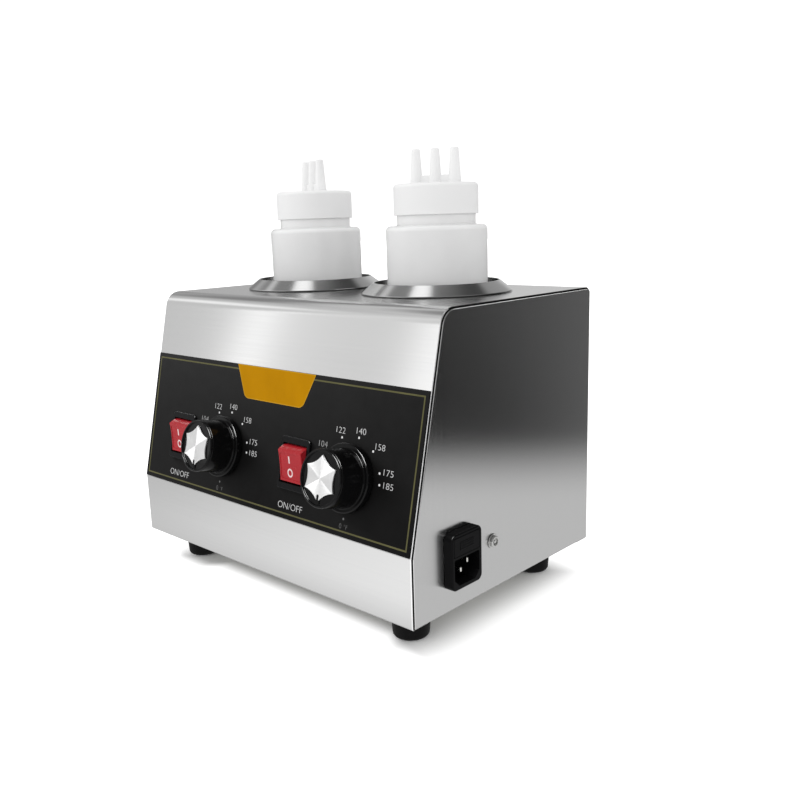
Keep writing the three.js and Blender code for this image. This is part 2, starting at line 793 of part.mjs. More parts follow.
// Sensor: a bulb under the floor of the well, and the capillary that joins it to the thermostat
function sensor(sign, dialAcross) {
  const bulbHeight = bodyHeight + wellUnder - gap - bulbRadius;
  const bulbFront = wellFromFront - bulbLength / 2;
  const bulb = rod(bulbRadius, 0, bulbLength).rotateX(-Math.PI / 2);
  bulb.translate(sign * wellHalfPitch, bulbFront, bulbHeight);
  const belowBox = (distance) => {
    const up = dialUp - thermostatHeight / 2 - distance;
    return slope.localToWorld(new THREE.Vector3(dialAcross, up, thermostatFront - thermostatDepth / 2));
  };
  const [turnIn, intoBox] = [belowBox(bulbRadius * 3), belowBox(gap)];
  const start = [sign * wellHalfPitch, bulbFront + bulbRadius, bulbHeight];
  const route = [
    start,
    [start[0], bulbFront - bulbRadius * 2, bulbHeight],
    [(start[0] * 2 + turnIn.x) / 3, bulbFront - bulbRadius * 5, bulbHeight - bulbRadius * 3],
    [turnIn.x, (bulbFront + turnIn.y) / 2, turnIn.z - bulbRadius * 3],
    turnIn.toArray(),
    intoBox.toArray(),
  ];
  return join(bulb, tube(route, capillaryRadius, wireSteps, wireSides));
}

// Switch: bezel and body in one moulding, open at the front for the rocker, with three blades behind
const bezelLow = labelFace + gap;
const bezelHigh = bezelLow + bezelThickness;
function switchHousing() {
  const bezel = prism(oblong(bezelWidth, bezelHeight, bezelRound), bezelLow, bezelHigh);
  const bodyHigh = bezelLow + bezelThickness / 2;
  const body = prism(oblong(switchBodyWidth, switchBodyHeight), -switchDepth, bodyHigh);
  const blades = [-1, 0, 1].map((i) =>
    prism(
      oblong(bladeWidth, bladeThickness, 0, 0, i * bladePitch),
      -switchDepth - bladeReach,
      -switchDepth + bladeThickness,
    ),
  );
  const cavity = prism(oblong(cavityWidth, cavityHeight), -switchCavity, bezelHigh + overrun);
  const reach = cavityWidth / 2 + switchWall - gap;
  const sockets = rod(pivotRadius + gap, -reach, reach).rotateY(Math.PI / 2).translate(0, 0, -pivotDepth);
  return cut(join(bezel, body, ...blades), cavity, sockets);
}

// Rocker: its ends are arcs about the pivot, which is its origin
function rocker() {
  const crownHalf = Math.sqrt(rockerSwing ** 2 - rockerCrown ** 2);
  const crownAngle = Math.atan2(crownHalf, rockerCrown);
  const endAngle = Math.PI / 2 + Math.asin(rockerTail / rockerSwing);
  const endArc = (sign) =>
    Array.from({ length: bendSteps + 1 }, (_, i) => {
      const angle = crownAngle + ((endAngle - crownAngle) * i) / bendSteps;
      return [rockerSwing * Math.cos(angle), sign * rockerSwing * Math.sin(angle)];
    });
  const crown = rockerCrownShares.map((share) => [
    rockerCrown - rockerHollow * (1 - share * share),
    -share * crownHalf,
  ]);
  // The outline is drawn with the pivot axis along Z, then laid along X.
  const section = [...endArc(-1).toReversed(), ...crown, ...endArc(1)].map(([out, up]) => [up, out]);
  const block = prism(section, -rockerWidth / 2, rockerWidth / 2);
  const reach = rockerWidth / 2 + gap + pivotReach;
  return join(block, rod(pivotRadius, -reach, reach)).applyMatrix4(acrossX);
}

function addControls() {
  add('control_label', controlLabel(), labelFilm, slope);
  for (const { side, sign, dialAcross } of bothSides) {
    const dial = [dialAcross, dialUp, 0];
    add(`thermostat_${side}`, thermostat(), zincSteel, slope).position.set(...dial);
    add(`thermostat_nut_${side}`, bushNut(), brass, slope).position.set(...dial);
    add(`thermostat_shaft_${side}`, thermostatShaft(), zincSteel, slope).position.set(...dial);
    add(`thermostat_sensor_${side}`, sensor(sign, dialAcross), brass);
    add(`knob_${side}`, knob(), blackPlastic, slope).position.set(...dial);
    add(`knob_star_${side}`, knobStar(), silverFoil, slope).position.set(...dial);
    const key = [dialAcross - switchToDial, dialUp, 0];
    add(`switch_housing_${side}`, switchHousing(), blackPlastic, slope).position.set(...key);
    const rockerMesh = add(`rocker_${side}`, rocker(), redPlastic, slope);
    rockerMesh.position.set(key[0], key[1], -pivotDepth);
    rockerMesh.rotation.x = rockerTilt;
  }
}

// Inlet: socket below, fuse drawer above. Its own origin is its middle, on the face of the side panel.
const socketFloor = inletProud - socketDepth;
const socketOutline = (grow) => {
  const [x, y] = [socketWidth / 2 + grow, socketHeight / 2 + grow];
  return [
    [-x + socketChamfer, -y - socketDrop, socketRound],
    [x - socketChamfer, -y - socketDrop, socketRound],
    [x, -y + socketChamfer - socketDrop, socketRound],
    [x, y - socketDrop, socketRound],
    [-x, y - socketDrop, socketRound],
    [-x, -y + socketChamfer - socketDrop, socketRound],
  ];
};
const pins = [
  { name: 'inlet_pin_live', x: -pinSpread, y: pinRise - socketDrop },
  { name: 'inlet_pin_neutral', x: pinSpread, y: pinRise - socketDrop },
  { name: 'inlet_pin_earth', x: 0, y: -earthPinDrop - socketDrop },
];
const drawerBack = inletProud + drawerProud - drawerFace;

function inletHousing() {
  const bezelOutline = oblong(inletWidth, inletHeight, inletRound);
  const bezel = join(
    prism(bezelOutline, gap, inletProud - inletEdge),
    prism(inset(bezelOutline, inletEdge), gap, inletProud),
  );
  const body = prism(oblong(inletBodyWidth, inletBodyHeight), -inletBodyDepth, inletProud / 2);
  const tools = pins.map(({ x, y }) =>
    prism(oblong(pinWidth + 2 * gap, pinHeight + 2 * gap, 0, x, y), -inletBodyDepth - overrun, inletProud),
  );
  tools.push(prism(socketOutline(0), socketFloor, inletProud + overrun));
  const tray = oblong(drawerTrayWidth + 2 * gap, drawerTrayHeight + 2 * gap, 0, 0, drawerRise);
  tools.push(prism(tray, drawerBack - drawerTrayLength - gap, inletProud + overrun));
  const face = oblong(drawerWidth + 2 * gap, drawerHeight + 2 * gap, 0, 0, drawerRise);
  tools.push(prism(face, drawerBack - gap, inletProud + overrun));
  return cut(join(bezel, body), ...tools);
}

// Fuse drawer: a face with grip ribs on a tray whose pocket holds the fuse across it
const fusePlace = drawerBack - drawerWall - gap - fuseRadius;
function fuseDrawer() {
  const faceOutline = oblong(drawerWidth, drawerHeight, 0, 0, drawerRise);
  const face = prism(faceOutline, drawerBack, drawerBack + drawerFace);
  const tray = prism(
    oblong(drawerTrayWidth, drawerTrayHeight, 0, 0, drawerRise),
    drawerBack - drawerTrayLength,
    drawerBack + drawerFace / 2,
  );
  const ribs = Array.from({ length: gripCount }, (_, i) =>
    prism(
      oblong(gripLength, gripHeight, 0, 0, drawerRise + (i - (gripCount - 1) / 2) * gripPitch),
      drawerBack,
      drawerBack + drawerFace + drawerProud,
    ),
  );
  const pocketLow = drawerRise - drawerTrayHeight / 2 + drawerWall;
  const pocketMiddle = pocketLow + drawerTrayHeight / 2;
  const pocket = prism(
    oblong(fuseLength + 2 * gap, drawerTrayHeight, 0, 0, pocketMiddle),
    fusePlace - fuseRadius - gap,
    fusePlace + fuseRadius + gap,
  );
  return cut(join(face, tray, ...ribs), pocket);
}

const fuse = () =>
  rod(fuseRadius, -fuseLength / 2, fuseLength / 2)
    .rotateY(Math.PI / 2)
    .translate(0, drawerRise - drawerTrayHeight / 2 + drawerWall + gap + fuseRadius, fusePlace);

// Earth terminal: screw and washer outside, nut inside
const earthSeat = gap + earthWasherHeight + gap;
function earthScrew() {
  const profile = [
    [0, -sheet - earthReach],
    [earthShankRadius, -sheet - earthReach],
    [earthShankRadius, earthSeat],
    [earthHeadRadius, earthSeat],
    [earthHeadRadius, earthSeat + earthHeadHeight, earthHeadHeight / 3],
    [0, earthSeat + earthHeadHeight],
  ];
  const top = earthSeat + earthHeadHeight;
  const slot = prism(oblong(driverLength, driverWidth), top - driverDepth, top + overrun);
  const slots = [slot.clone().rotateZ(Math.PI / 4), slot.clone().rotateZ(-Math.PI / 4)];
  return cut(turned(profile, smallSides), ...slots);
}

const earthWasher = () =>
  cut(
    rod(earthWasherRadius, gap, gap + earthWasherHeight, 0, 0, footSides),
    rod(earthShankRadius + drillGap, -overrun, overrun),
  );

const earthNut = () =>
  cut(
    rod(earthNutRadius, -sheet - gap - earthNutHeight, -sheet - gap, 0, 0, 6),
    rod(earthShankRadius + drillGap, -sheet - earthReach, overrun),
  );

function addInlet() {
  const place = [inletFromFront, inletUp, 0];
  add('inlet_housing', inletHousing(), blackPlastic, rightSide).position.set(...place);
  add('fuse_drawer', fuseDrawer(), blackPlastic, rightSide).position.set(...place);
  add('fuse', fuse(), glass, rightSide).position.set(...place);
  for (const { name, x, y } of pins) {
    const section = oblong(pinWidth, pinHeight, 0, x, y);
    const blade = prism(section, -inletBodyDepth - pinTail, inletProud - pinShort);
    add(name, blade, brass, rightSide).position.set(...place);
  }
  const earth = [earthFromFront, earthUp, 0];
  add('earth_screw', earthScrew(), brushedSteel, rightSide).position.set(...earth);
  add('earth_washer', earthWasher(), brushedSteel, rightSide).position.set(...earth);
  add('earth_nut', earthNut(), brass, rightSide).position.set(...earth);
}

// Bottle: straight body, rounded shoulder and a wide open neck. Height zero is its underside.
const capFloor = bottleHeight + capLift;
const neckTop = capFloor + capHeight - capWall - gap;
function bottle() {
  const profile = [
    [0, pushUp],
    [bottleRadius - bottleHeelRound * 2, pushUp],
    [bottleRadius - bottleHeelRound * 1.6, 0],
    [bottleRadius, 0, bottleHeelRound],
    [bottleRadius, bottleHeight, shoulderRound],
    [neckRadius, bottleHeight],
    [neckRadius, neckTop],
    [neckRadius - bottleWall, neckTop],
    [neckRadius - bottleWall, bottleHeight - bottleWall],
    [bottleRadius - bottleWall, bottleHeight - bottleWall, shoulderRound - bottleWall / 2],
    [bottleRadius - bottleWall, pushUp + bottleWall, bottleHeelRound],
    [0, pushUp + bottleWall],
  ];
  return turned(profile, bottleSides);
}

// Cap: a skirt over the neck, and three bored nozzles in a row that a low web joins
function cap() {
  const top = capFloor + capHeight;
  const shell = turned(
    [
      [0, top - capWall],
      [capRadius - capWall, top - capWall],
      [capRadius - capWall, capFloor],
      [capRadius, capFloor],
      [capRadius, top, capRound],
      [0, top],
    ],
    bottleSides,
  );
  const root = top - capWall / 2;
  const nozzles = [-1, 0, 1].map((i) =>
    turned(
      [
        [0, root],
        [nozzleRootRadius, root],
        [nozzleTipRadius, top + nozzleHeight, nozzleTipRound],
        [0, top + nozzleHeight],
      ],
      smallSides,
    ).translate(i * nozzlePitch, 0, 0),
  );
  const bores = [-1, 0, 1].map((i) =>
    rod(nozzleBore, root - overrun, top + nozzleHeight + overrun, i * nozzlePitch),
  );
  const web = prism(oblong(2 * nozzlePitch, webThickness), root, top + webHeight);
  return cut(join(shell, ...nozzles, web), ...bores);
}

function addBottles() {
  for (const { side, sign } of bothSides) {
    const drift = bottleDrift[side];
    const place = [sign * wellHalfPitch + drift, wellFromFront + drift, bodyHeight - wellDepth + gap];
    add(`bottle_${side}`, bottle(), bottlePlastic).position.set(...place);
    const capMesh = add(`nozzle_cap_${side}`, cap(), bottlePlastic);
    capMesh.position.set(...place);
    capMesh.rotation.z = nozzleTurn[side];
  }
}

// Terminal block on the base plate, and the three wires from the inlet
function addWiring() {
  const low = basePlateHigh + gap;
  const [x, y] = [bodyWidth / 2 - blockFromRight, blockFromFront];
  const block = prism(oblong(blockLength, blockDepth, 0, x, y), low, low + blockHeight);
  const holeHeight = low + blockHeight / 2;
  const wayPitch = blockLength / blockWays;
  const wayAcross = (way) => x + (way - (blockWays - 1) / 2) * wayPitch;
  const bore = rod(blockHoleRadius, -blockDepth, blockDepth).rotateX(Math.PI / 2);
  const ways = Array.from({ length: blockWays }, (_, way) =>
    bore.clone().translate(wayAcross(way), y, holeHeight),
  );
  add('terminal_block', cut(block, ...ways), bottlePlastic);

  const pinEnd = bodyWidth / 2 - inletBodyDepth - pinTail - wireEndGap;
  const pinAt = ({ x: along, y: up }) => [pinEnd, inletFromFront + along, inletUp + up];
  const blockFront = y - blockDepth / 2 + wireRadius * 2;
  const leads = [
    { name: 'wire_live', pin: pins[0], way: blockWays - 1, material: wireBrown },
    { name: 'wire_neutral', pin: pins[1], way: blockWays - 2, material: wireBlue },
  ];
  for (const { name, pin, way, material } of leads) {
    const start = pinAt(pin);
    const across = wayAcross(way);
    const bow = wireRadius * 4;
    const route = [
      start,
      [start[0] - bow, start[1], start[2]],
      [(start[0] + across) / 2, blockFront - bow * 3, (start[2] + holeHeight) / 2],
      [across, blockFront - bow * 2, holeHeight],
      [across, blockFront, holeHeight],
    ];
    add(name, tube(route, wireRadius, wireSteps, wireSides), material);
  }
  const earthStart = pinAt(pins[2]);
  const earthEnd = [bodyWidth / 2 - sheet - earthReach - wireEndGap, earthFromFront, earthUp];
  const bow = wireRadius * 4;
  const earthRoute = [
    earthStart,
    [earthStart[0] - bow, earthStart[1], earthStart[2]],
    [earthStart[0] - bow, (earthStart[1] + earthEnd[1]) / 2, earthStart[2] - bow * 2],
    [earthEnd[0] - bow * 2, earthEnd[1], earthEnd[2] - bow],
    [earthEnd[0] - bow, earthEnd[1], earthEnd[2]],
    earthEnd,
  ];
  add('wire_earth', tube(earthRoute, wireRadius, wireSteps, wireSides), wireGreen);
}

addCasing();
addUnderside();
addWells();
addControls();
addInlet();
addBottles();
addWiring();

// The origin is the middle of the underside of the whole product, on the floor.
const bounds = new THREE.Box3().setFromObject(casing);
const middle = bounds.getCenter(new THREE.Vector3());
casing.position.set(-middle.x, -middle.y, -bounds.min.z);
warmer.updateMatrixWorld(true);

export default warmer;
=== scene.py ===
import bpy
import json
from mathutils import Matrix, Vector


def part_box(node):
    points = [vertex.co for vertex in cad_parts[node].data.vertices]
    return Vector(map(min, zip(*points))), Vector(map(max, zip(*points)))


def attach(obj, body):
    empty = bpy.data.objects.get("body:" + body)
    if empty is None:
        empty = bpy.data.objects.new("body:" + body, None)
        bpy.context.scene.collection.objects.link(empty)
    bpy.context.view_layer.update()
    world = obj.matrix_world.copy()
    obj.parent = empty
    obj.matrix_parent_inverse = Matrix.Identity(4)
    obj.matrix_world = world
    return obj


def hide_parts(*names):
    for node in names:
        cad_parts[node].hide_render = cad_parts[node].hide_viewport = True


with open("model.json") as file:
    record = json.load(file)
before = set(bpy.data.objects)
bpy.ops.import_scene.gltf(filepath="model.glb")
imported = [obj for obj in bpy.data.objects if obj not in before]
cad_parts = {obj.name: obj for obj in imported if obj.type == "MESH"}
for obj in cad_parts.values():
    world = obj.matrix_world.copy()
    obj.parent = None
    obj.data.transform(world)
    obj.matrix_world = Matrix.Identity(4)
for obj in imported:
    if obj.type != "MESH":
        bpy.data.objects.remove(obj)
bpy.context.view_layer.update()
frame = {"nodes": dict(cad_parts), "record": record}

import json
import math

import bpy
from mathutils import Matrix, Vector

# The casing's section, in millimetres: the slope leans back from the fold to the deck.
WIDTH, DEPTH, HEIGHT = 300, 205, 197
FOLD = 47
SLOPE_RUN = 34.6
LEAN = math.atan2(SLOPE_RUN, HEIGHT - FOLD)
SECTION = [[0, 0, 1.5], [0, FOLD, 2], [SLOPE_RUN, HEIGHT, 13], [DEPTH, HEIGHT, 4], [DEPTH, 0, 1.5]]
SHEET = 1

# From the side panel's outer face to the wrap's edge.
SEAM = 1.1

# Places and openings of what the casing carries, in millimetres.
SIDES = (("left", -1), ("right", 1))
WELL_PITCH = 66.80
WELL_DEPTH = 126.2
WELL_HOLE = 47.3
DIALS = {"left": -47.5, "right": 88.2}
DIAL_UP = 39.9
SHAFT_HOLE = 5.2
SWITCH_TO_DIAL = 53.4
SWITCH_HOLE = (27.4, 30.8)
INLET = (44.7, 36.8)
INLET_HOLE = (28.2, 34.6)
EARTH = (80.8, 35.4)
EARTH_HOLE = 2.7
OVERRUN = 3

# Shapes are drawn in millimetres in one of these frames, then set in place in metres.
# CASING: X from the middle of the casing, Y back from its front, Z up from its underside.
# SLOPE: X right, Y up the control slope from the fold, Z out of the metal.
# SIDE: the right side panel, X back, Y up, Z out.
MILLIMETRE = 0.001
low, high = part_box("wrap_shell")
CASING = Matrix.Translation(((low.x + high.x) / 2, low.y, low.z)) @ Matrix.Scale(MILLIMETRE, 4)
SLOPE = CASING @ Matrix.Translation((0, 0, FOLD)) @ Matrix.Rotation(math.pi / 2 - LEAN, 4, "X")
SIDE_FROM_MIDDLE = Matrix.Translation((WIDTH / 2, 0, 0)) @ Matrix((
    (0, 0, 1, 0), (1, 0, 0, 0), (0, 1, 0, 0), (0, 0, 0, 1),
))
SIDE = CASING @ SIDE_FROM_MIDDLE

# One unit of a grain map is this many millimetres.
GRAIN_UNIT = 100

# Most of a noise texture lies between these values.
NOISE_LOW, NOISE_HIGH = 0.3, 0.7


# Finishes

class Finish:
    """A material built from nodes, with short ways to add texture to it."""

    def __init__(self, name, **inputs):
        self.material = bpy.data.materials.new(name)
        self.material.use_nodes = True
        self.nodes = self.material.node_tree.nodes
        self.links = self.material.node_tree.links
        self.shader = self.nodes["Principled BSDF"]
        for key, value in inputs.items():
            socket = self.shader.inputs[key.replace("_", " ").title().replace("Ior", "IOR")]
            socket.default_value = (*value, 1) if socket.type == "RGBA" else value

    def node(self, kind, **values):
        node = self.nodes.new(kind)
        for key, value in values.items():
            setattr(node, key, value)
        return node

    def noise(self, scale, detail, space="Object", stretch=(1, 1, 1)):
        place = self.node("ShaderNodeTexCoord")
        mapping = self.node("ShaderNodeMapping")
        mapping.inputs["Scale"].default_value = stretch
        noise = self.node("ShaderNodeTexNoise")
        noise.inputs["Scale"].default_value = scale
        noise.inputs["Detail"].default_value = detail
        self.links.new(place.outputs[space], mapping.inputs["Vector"])
        self.links.new(mapping.outputs["Vector"], noise.inputs["Vector"])
        return noise.outputs["Fac"]

    def vary(self, socket, source, low, high):
        """Lets noise move a value of the shader between low and high."""
        ranged = self.node("ShaderNodeMapRange")
        limits = {"From Min": NOISE_LOW, "From Max": NOISE_HIGH, "To Min": low, "To Max": high}
        for key, value in limits.items():
            ranged.inputs[key].default_value = value
        self.links.new(source, ranged.inputs["Value"])
        self.links.new(ranged.outputs["Result"], self.shader.inputs[socket])

    def tint(self, source, dark, light):
        ramp = self.node("ShaderNodeValToRGB")
        for point, position, colour in zip(ramp.color_ramp.elements, (NOISE_LOW, NOISE_HIGH), (dark, light)):
            point.position = position
            point.color = (*colour, 1)
        self.links.new(source, ramp.inputs["Fac"])
        self.links.new(ramp.outputs["Color"], self.shader.inputs["Base Color"])

    def bump(self, source, strength, depth):
        bump = self.node("ShaderNodeBump")
        bump.inputs["Strength"].default_value = strength
        bump.inputs["Distance"].default_value = depth
        self.links.new(source, bump.inputs["Height"])
        self.links.new(bump.outputs["Normal"], self.shader.inputs["Normal"])

    def brush(self, amount):
        """Stretches highlights across the grain, which runs along the U of the mesh."""
        tangent = self.node("ShaderNodeTangent", direction_type="UV_MAP", uv_map="grain")
        self.shader.inputs["Anisotropic"].default_value = amount
        self.shader.inputs["Anisotropic Rotation"].default_value = 0.25
        self.links.new(tangent.outputs["Tangent"], self.shader.inputs["Tangent"])


def grey(shade):
    return (shade, shade, shade)


def brushed(name, stretch, shade, rough, spread, space="Object"):
    """Sheet metal with a fine grain, narrow where stretch is large and long where it is small."""
    finish = Finish(name, metallic=1.0, roughness=rough)
    fine = finish.noise(1, 3, space, stretch)
    broad = finish.noise(1, 2, space, tuple(scale * 0.3 for scale in stretch))
    finish.tint(broad, grey(shade * 0.99), (shade * 1.008, shade * 1.008, shade * 1.004))
    finish.vary("Roughness", fine, rough - 0.015, rough + 0.02)
    finish.bump(fine, strength=0.015, depth=0.00002)
    finish.brush(spread)
    return finish.material


def plain_metal(name, dark, light, rough, scale=260):
    finish = Finish(name, metallic=1.0, roughness=rough)
    cloud = finish.noise(scale, 4)
    finish.tint(cloud, dark, light)
    finish.vary("Roughness", cloud, rough - 0.06, rough + 0.08)
    finish.bump(cloud, strength=0.1, depth=0.00005)
    return finish.material


def plastic(name, dark, light, rough, grain=900, depth=0.00002, strength=0.25, **inputs):
    finish = Finish(name, roughness=rough, **inputs)
    finish.tint(finish.noise(60, 3), dark, light)
    finish.vary("Roughness", finish.noise(170, 3), rough - 0.04, rough + 0.06)
    finish.bump(finish.noise(grain, 2), strength, depth)
    return finish.material


wrap_steel = brushed("wrap_steel", (9, 2600, 2600), 0.66, 0.14, 0.6)
side_steel = brushed("side_steel", (2600, 2600, 9), 0.65, 0.21, 0.9)
spun_steel = brushed("spun_steel", (3, 240, 1), 0.64, 0.17, 0.6, "UV")
star_foil = brushed("star_foil", (2, 160, 1), 0.88, 0.34, 0.9, "UV")
zinc = plain_metal("zinc_plate", (0.32, 0.32, 0.30), (0.45, 0.45, 0.42), 0.42)
# Painted shade: near-black steel for the faces inside the seams and the flange behind them.
painted_shade_steel = plain_metal("painted_shade_steel", grey(0.03), grey(0.04), 0.6)
# Painted highlight: a lighter copy of the steel for the wrap's rounded rims beside the seams.
painted_highlight_steel = plain_metal("painted_highlight_steel", grey(0.92), grey(0.95), 0.26)
bright_steel = plain_metal("bright_steel", (0.64, 0.64, 0.63), (0.70, 0.70, 0.69), 0.24, scale=90)
brass = plain_metal("brass", (0.50, 0.36, 0.12), (0.60, 0.44, 0.17), 0.32)
tinned = plain_metal("tinned_pin", (0.75, 0.74, 0.70), (0.86, 0.85, 0.82), 0.2)
heater_tin = plain_metal("heater_sheath", (0.28, 0.20, 0.10), (0.42, 0.34, 0.20), 0.5, scale=90)
rubber = plastic(
    "foot_rubber", grey(0.003), grey(0.006), 0.6,
    grain=700, depth=0.00008, strength=0.4, specular_ior_level=0.12,
)
label_film = plastic(
    "label_film", (0.0045, 0.0043, 0.0043), (0.006, 0.0058, 0.0058), 0.5,
    grain=1500, strength=0.2, specular_ior_level=0.06,
)
knob_black = plastic(
    "knob_black", (0.003, 0.003, 0.0031), (0.0042, 0.0042, 0.0044), 0.12,
    grain=500, depth=0.00001, strength=0.06, specular_ior_level=0.13,
)
switch_black = plastic(
    "switch_black", (0.004, 0.004, 0.0046), (0.0055, 0.0055, 0.0063), 0.25,
    grain=1600, strength=0.2, specular_ior_level=0.09,
)
inlet_black = plastic(
    "inlet_black", (0.003, 0.003, 0.0033), (0.0042, 0.0042, 0.0046), 0.3,
    grain=1500, strength=0.2, specular_ior_level=0.06,
)
rocker_red = plastic(
    "rocker_red", (0.38, 0.013, 0.020), (0.44, 0.018, 0.026), 0.25,
    grain=800, depth=0.00001, strength=0.1, specular_ior_level=0.2,
)
symbol_white = plastic("symbol_white", (0.78, 0.60, 0.60), (0.86, 0.70, 0.70), 0.4)
print_white = plastic("print_white", grey(0.62), grey(0.70), 0.5)
print_dots = plastic("print_dots", grey(0.80), grey(0.88), 0.5)
print_faint = plastic("print_faint", grey(0.36), grey(0.42), 0.5)
print_grey = plastic("print_grey", grey(0.11), grey(0.15), 0.5)
border_gold = plastic(
    "border_gold", (0.085, 0.080, 0.028), (0.115, 0.108, 0.040), 0.4, specular_ior_level=0.2,
)
tab_amber = plastic("tab_amber", (0.43, 0.195, 0.0005), (0.48, 0.22, 0.0006), 0.38, specular_ior_level=0.02)
tab_edge = plastic("tab_edge", (0.50, 0.26, 0.008), (0.56, 0.30, 0.010), 0.38, specular_ior_level=0.1)
wool = plastic(
    "mineral_wool", (0.52, 0.48, 0.39), (0.72, 0.68, 0.58), 0.95, grain=500, depth=0.0006, strength=1.0,
)
block = plastic("block_plastic", (0.74, 0.74, 0.71), (0.82, 0.82, 0.80), 0.45)
wire_brown = plastic("wire_brown", (0.09, 0.03, 0.014), (0.12, 0.042, 0.02), 0.45)
wire_blue = plastic("wire_blue", (0.016, 0.07, 0.24), (0.022, 0.09, 0.30), 0.45)
wire_green = plastic("wire_green", (0.09, 0.25, 0.025), (0.12, 0.31, 0.035), 0.45)
bottle_white = plastic(
    "bottle_plastic", grey(0.83), grey(0.855), 0.2, depth=0.00001, strength=0.05,
    subsurface_weight=0.25, subsurface_radius=grey(0.006), subsurface_scale=1.0,
)
cap_white = plastic(
    "cap_plastic", grey(0.855), grey(0.86), 0.45, depth=0.00001, strength=0.03,
    subsurface_weight=0.1, subsurface_radius=grey(0.006), subsurface_scale=1.0,
)
glass = plastic(
    "fuse_glass", (0.8, 0.85, 0.85), (0.86, 0.9, 0.9), 0.05,
    grain=300, depth=0.00001, strength=0.1, transmission_weight=0.8,
)


# Shapes

LEAST_RADIUS = 0.02
ON_AXIS = 1e-6


def bend(corners, i):
    """A corner's point, the way to the one before, half its angle and the way into it."""
    here = Vector(corners[i][:2])
    before = Vector(corners[i - 1][:2]) - here
    after = Vector(corners[(i + 1) % len(corners)][:2]) - here
    middle = (before.normalized() + after.normalized()).normalized()
    return here, before.normalized(), before.angle(after) / 2, middle


def outline(corners, steps=6, is_open=False):
    """Points of a polygon or open line, with corners [x, y, radius] rounded."""
    points = []
    for i, corner in enumerate(corners):
        radius = corner[2] if len(corner) > 2 else 0
        if radius <= 0 or (is_open and i in (0, len(corners) - 1)):
            points.append(Vector(corner[:2]))
            continue
        here, before, half, middle = bend(corners, i)
        centre = here + middle * (radius / math.sin(half))
        start = here + before * (radius / math.tan(half)) - centre
        turn = (math.pi - 2 * half) * math.copysign(1, start.cross(-middle))
        for step in range(steps + 1):
            points.append(centre + Matrix.Rotation(turn * step / steps, 2) @ start)
    return points


def inset(corners, distance):
    """A convex outline of corners drawn inwards."""
    drawn = []
    for i, corner in enumerate(corners):
        here, _, half, middle = bend(corners, i)
        point = here + middle * (distance / math.sin(half))
        radius = corner[2] if len(corner) > 2 else 0
        drawn.append([point.x, point.y, max(radius - distance, LEAST_RADIUS) if radius > 0 else 0])
    return drawn


def oblong(width, height, radius=0, x=0, y=0):
    w, h = width / 2, height / 2
    return [[x - w, y - h, radius], [x + w, y - h, radius], [x + w, y + h, radius], [x - w, y + h, radius]]


def arc_levels(radius, steps):
    """A quarter circle as (distance in, distance from the end), from the end inwards."""
    angles = [math.pi / 2 * i / steps for i in range(steps + 1)]
    return [(radius * (1 - math.sin(angle)), radius * (1 - math.cos(angle))) for angle in angles]


def new_object(name, data):
    obj = bpy.data.objects.new(name, data)
    bpy.context.scene.collection.objects.link(obj)
    return obj


def put(name, points, faces, uvs=None):
    """A mesh object still in millimetres, with its own grain map."""
    mesh = bpy.data.meshes.new(name)
    mesh.from_pydata([tuple(p) for p in points], [], faces)
    mesh.update()
    grain = mesh.uv_layers.new(name="grain")
    for loop in mesh.loops:
        p = mesh.vertices[loop.vertex_index].co
        grain.data[loop.index].uv = (p.x / GRAIN_UNIT, (p.y + p.z) / GRAIN_UNIT)
    if uvs:
        for polygon, corners in zip(mesh.polygons, uvs):
            for index, uv in zip(polygon.loop_indices, corners):
                grain.data[index].uv = uv
    return new_object(name, mesh)


def loft(name, rings, swap=False):
    """Skins closed rings of points. U runs from ring to ring when swap is set, else round each ring."""
    count = len(rings[0])
    points = [p for ring in rings for p in ring]
    faces, uvs = [], []
    around, along = [0.0], [0.0]
    for i in range(count):
        side = Vector(rings[0][(i + 1) % count]) - Vector(rings[0][i])
        around.append(around[-1] + side.length / GRAIN_UNIT)
    for a, b in zip(rings, rings[1:]):
        along.append(along[-1] + max((Vector(q) - Vector(p)).length for p, q in zip(a, b)) / GRAIN_UNIT)
    for r in range(len(rings) - 1):
        for i in range(count):
            corners = ((i, r), (i + 1, r), (i + 1, r + 1), (i, r + 1))
            faces.append(tuple(level * count + spot % count for spot, level in corners))
            uv = [(around[spot], along[level]) for spot, level in corners]
            uvs.append([(v, u) for u, v in uv] if swap else uv)
    first, last = range(count)[::-1], range((len(rings) - 1) * count, len(rings) * count)
    for end in (first, last):
        faces.append(tuple(end))
        uvs.append([(points[i][0] / GRAIN_UNIT, points[i][1] / GRAIN_UNIT) for i in end])
    return put(name, points, faces, uvs)


def slab(name, corners, low, high, top=0.0, bottom=0.0, steps=6, edge_steps=3):
    """A flat piece with the given outline on XY and rounded edges."""
    below = arc_levels(bottom, edge_steps) if bottom else [(0, 0)]
    above = arc_levels(top, edge_steps) if top else [(0, 0)]
    levels = [(distance, low + up) for distance, up in below]
    levels += [(distance, high - down) for distance, down in above[::-1]]
    rings = []
    for distance, z in levels:
        ring = outline(inset(corners, distance) if distance else corners, steps)
        rings.append([(p.x, p.y, z) for p in ring])
    return loft(name, rings)


def prism(corners, low, high, steps=6):
    return slab("tool", corners, low, high, steps=steps)


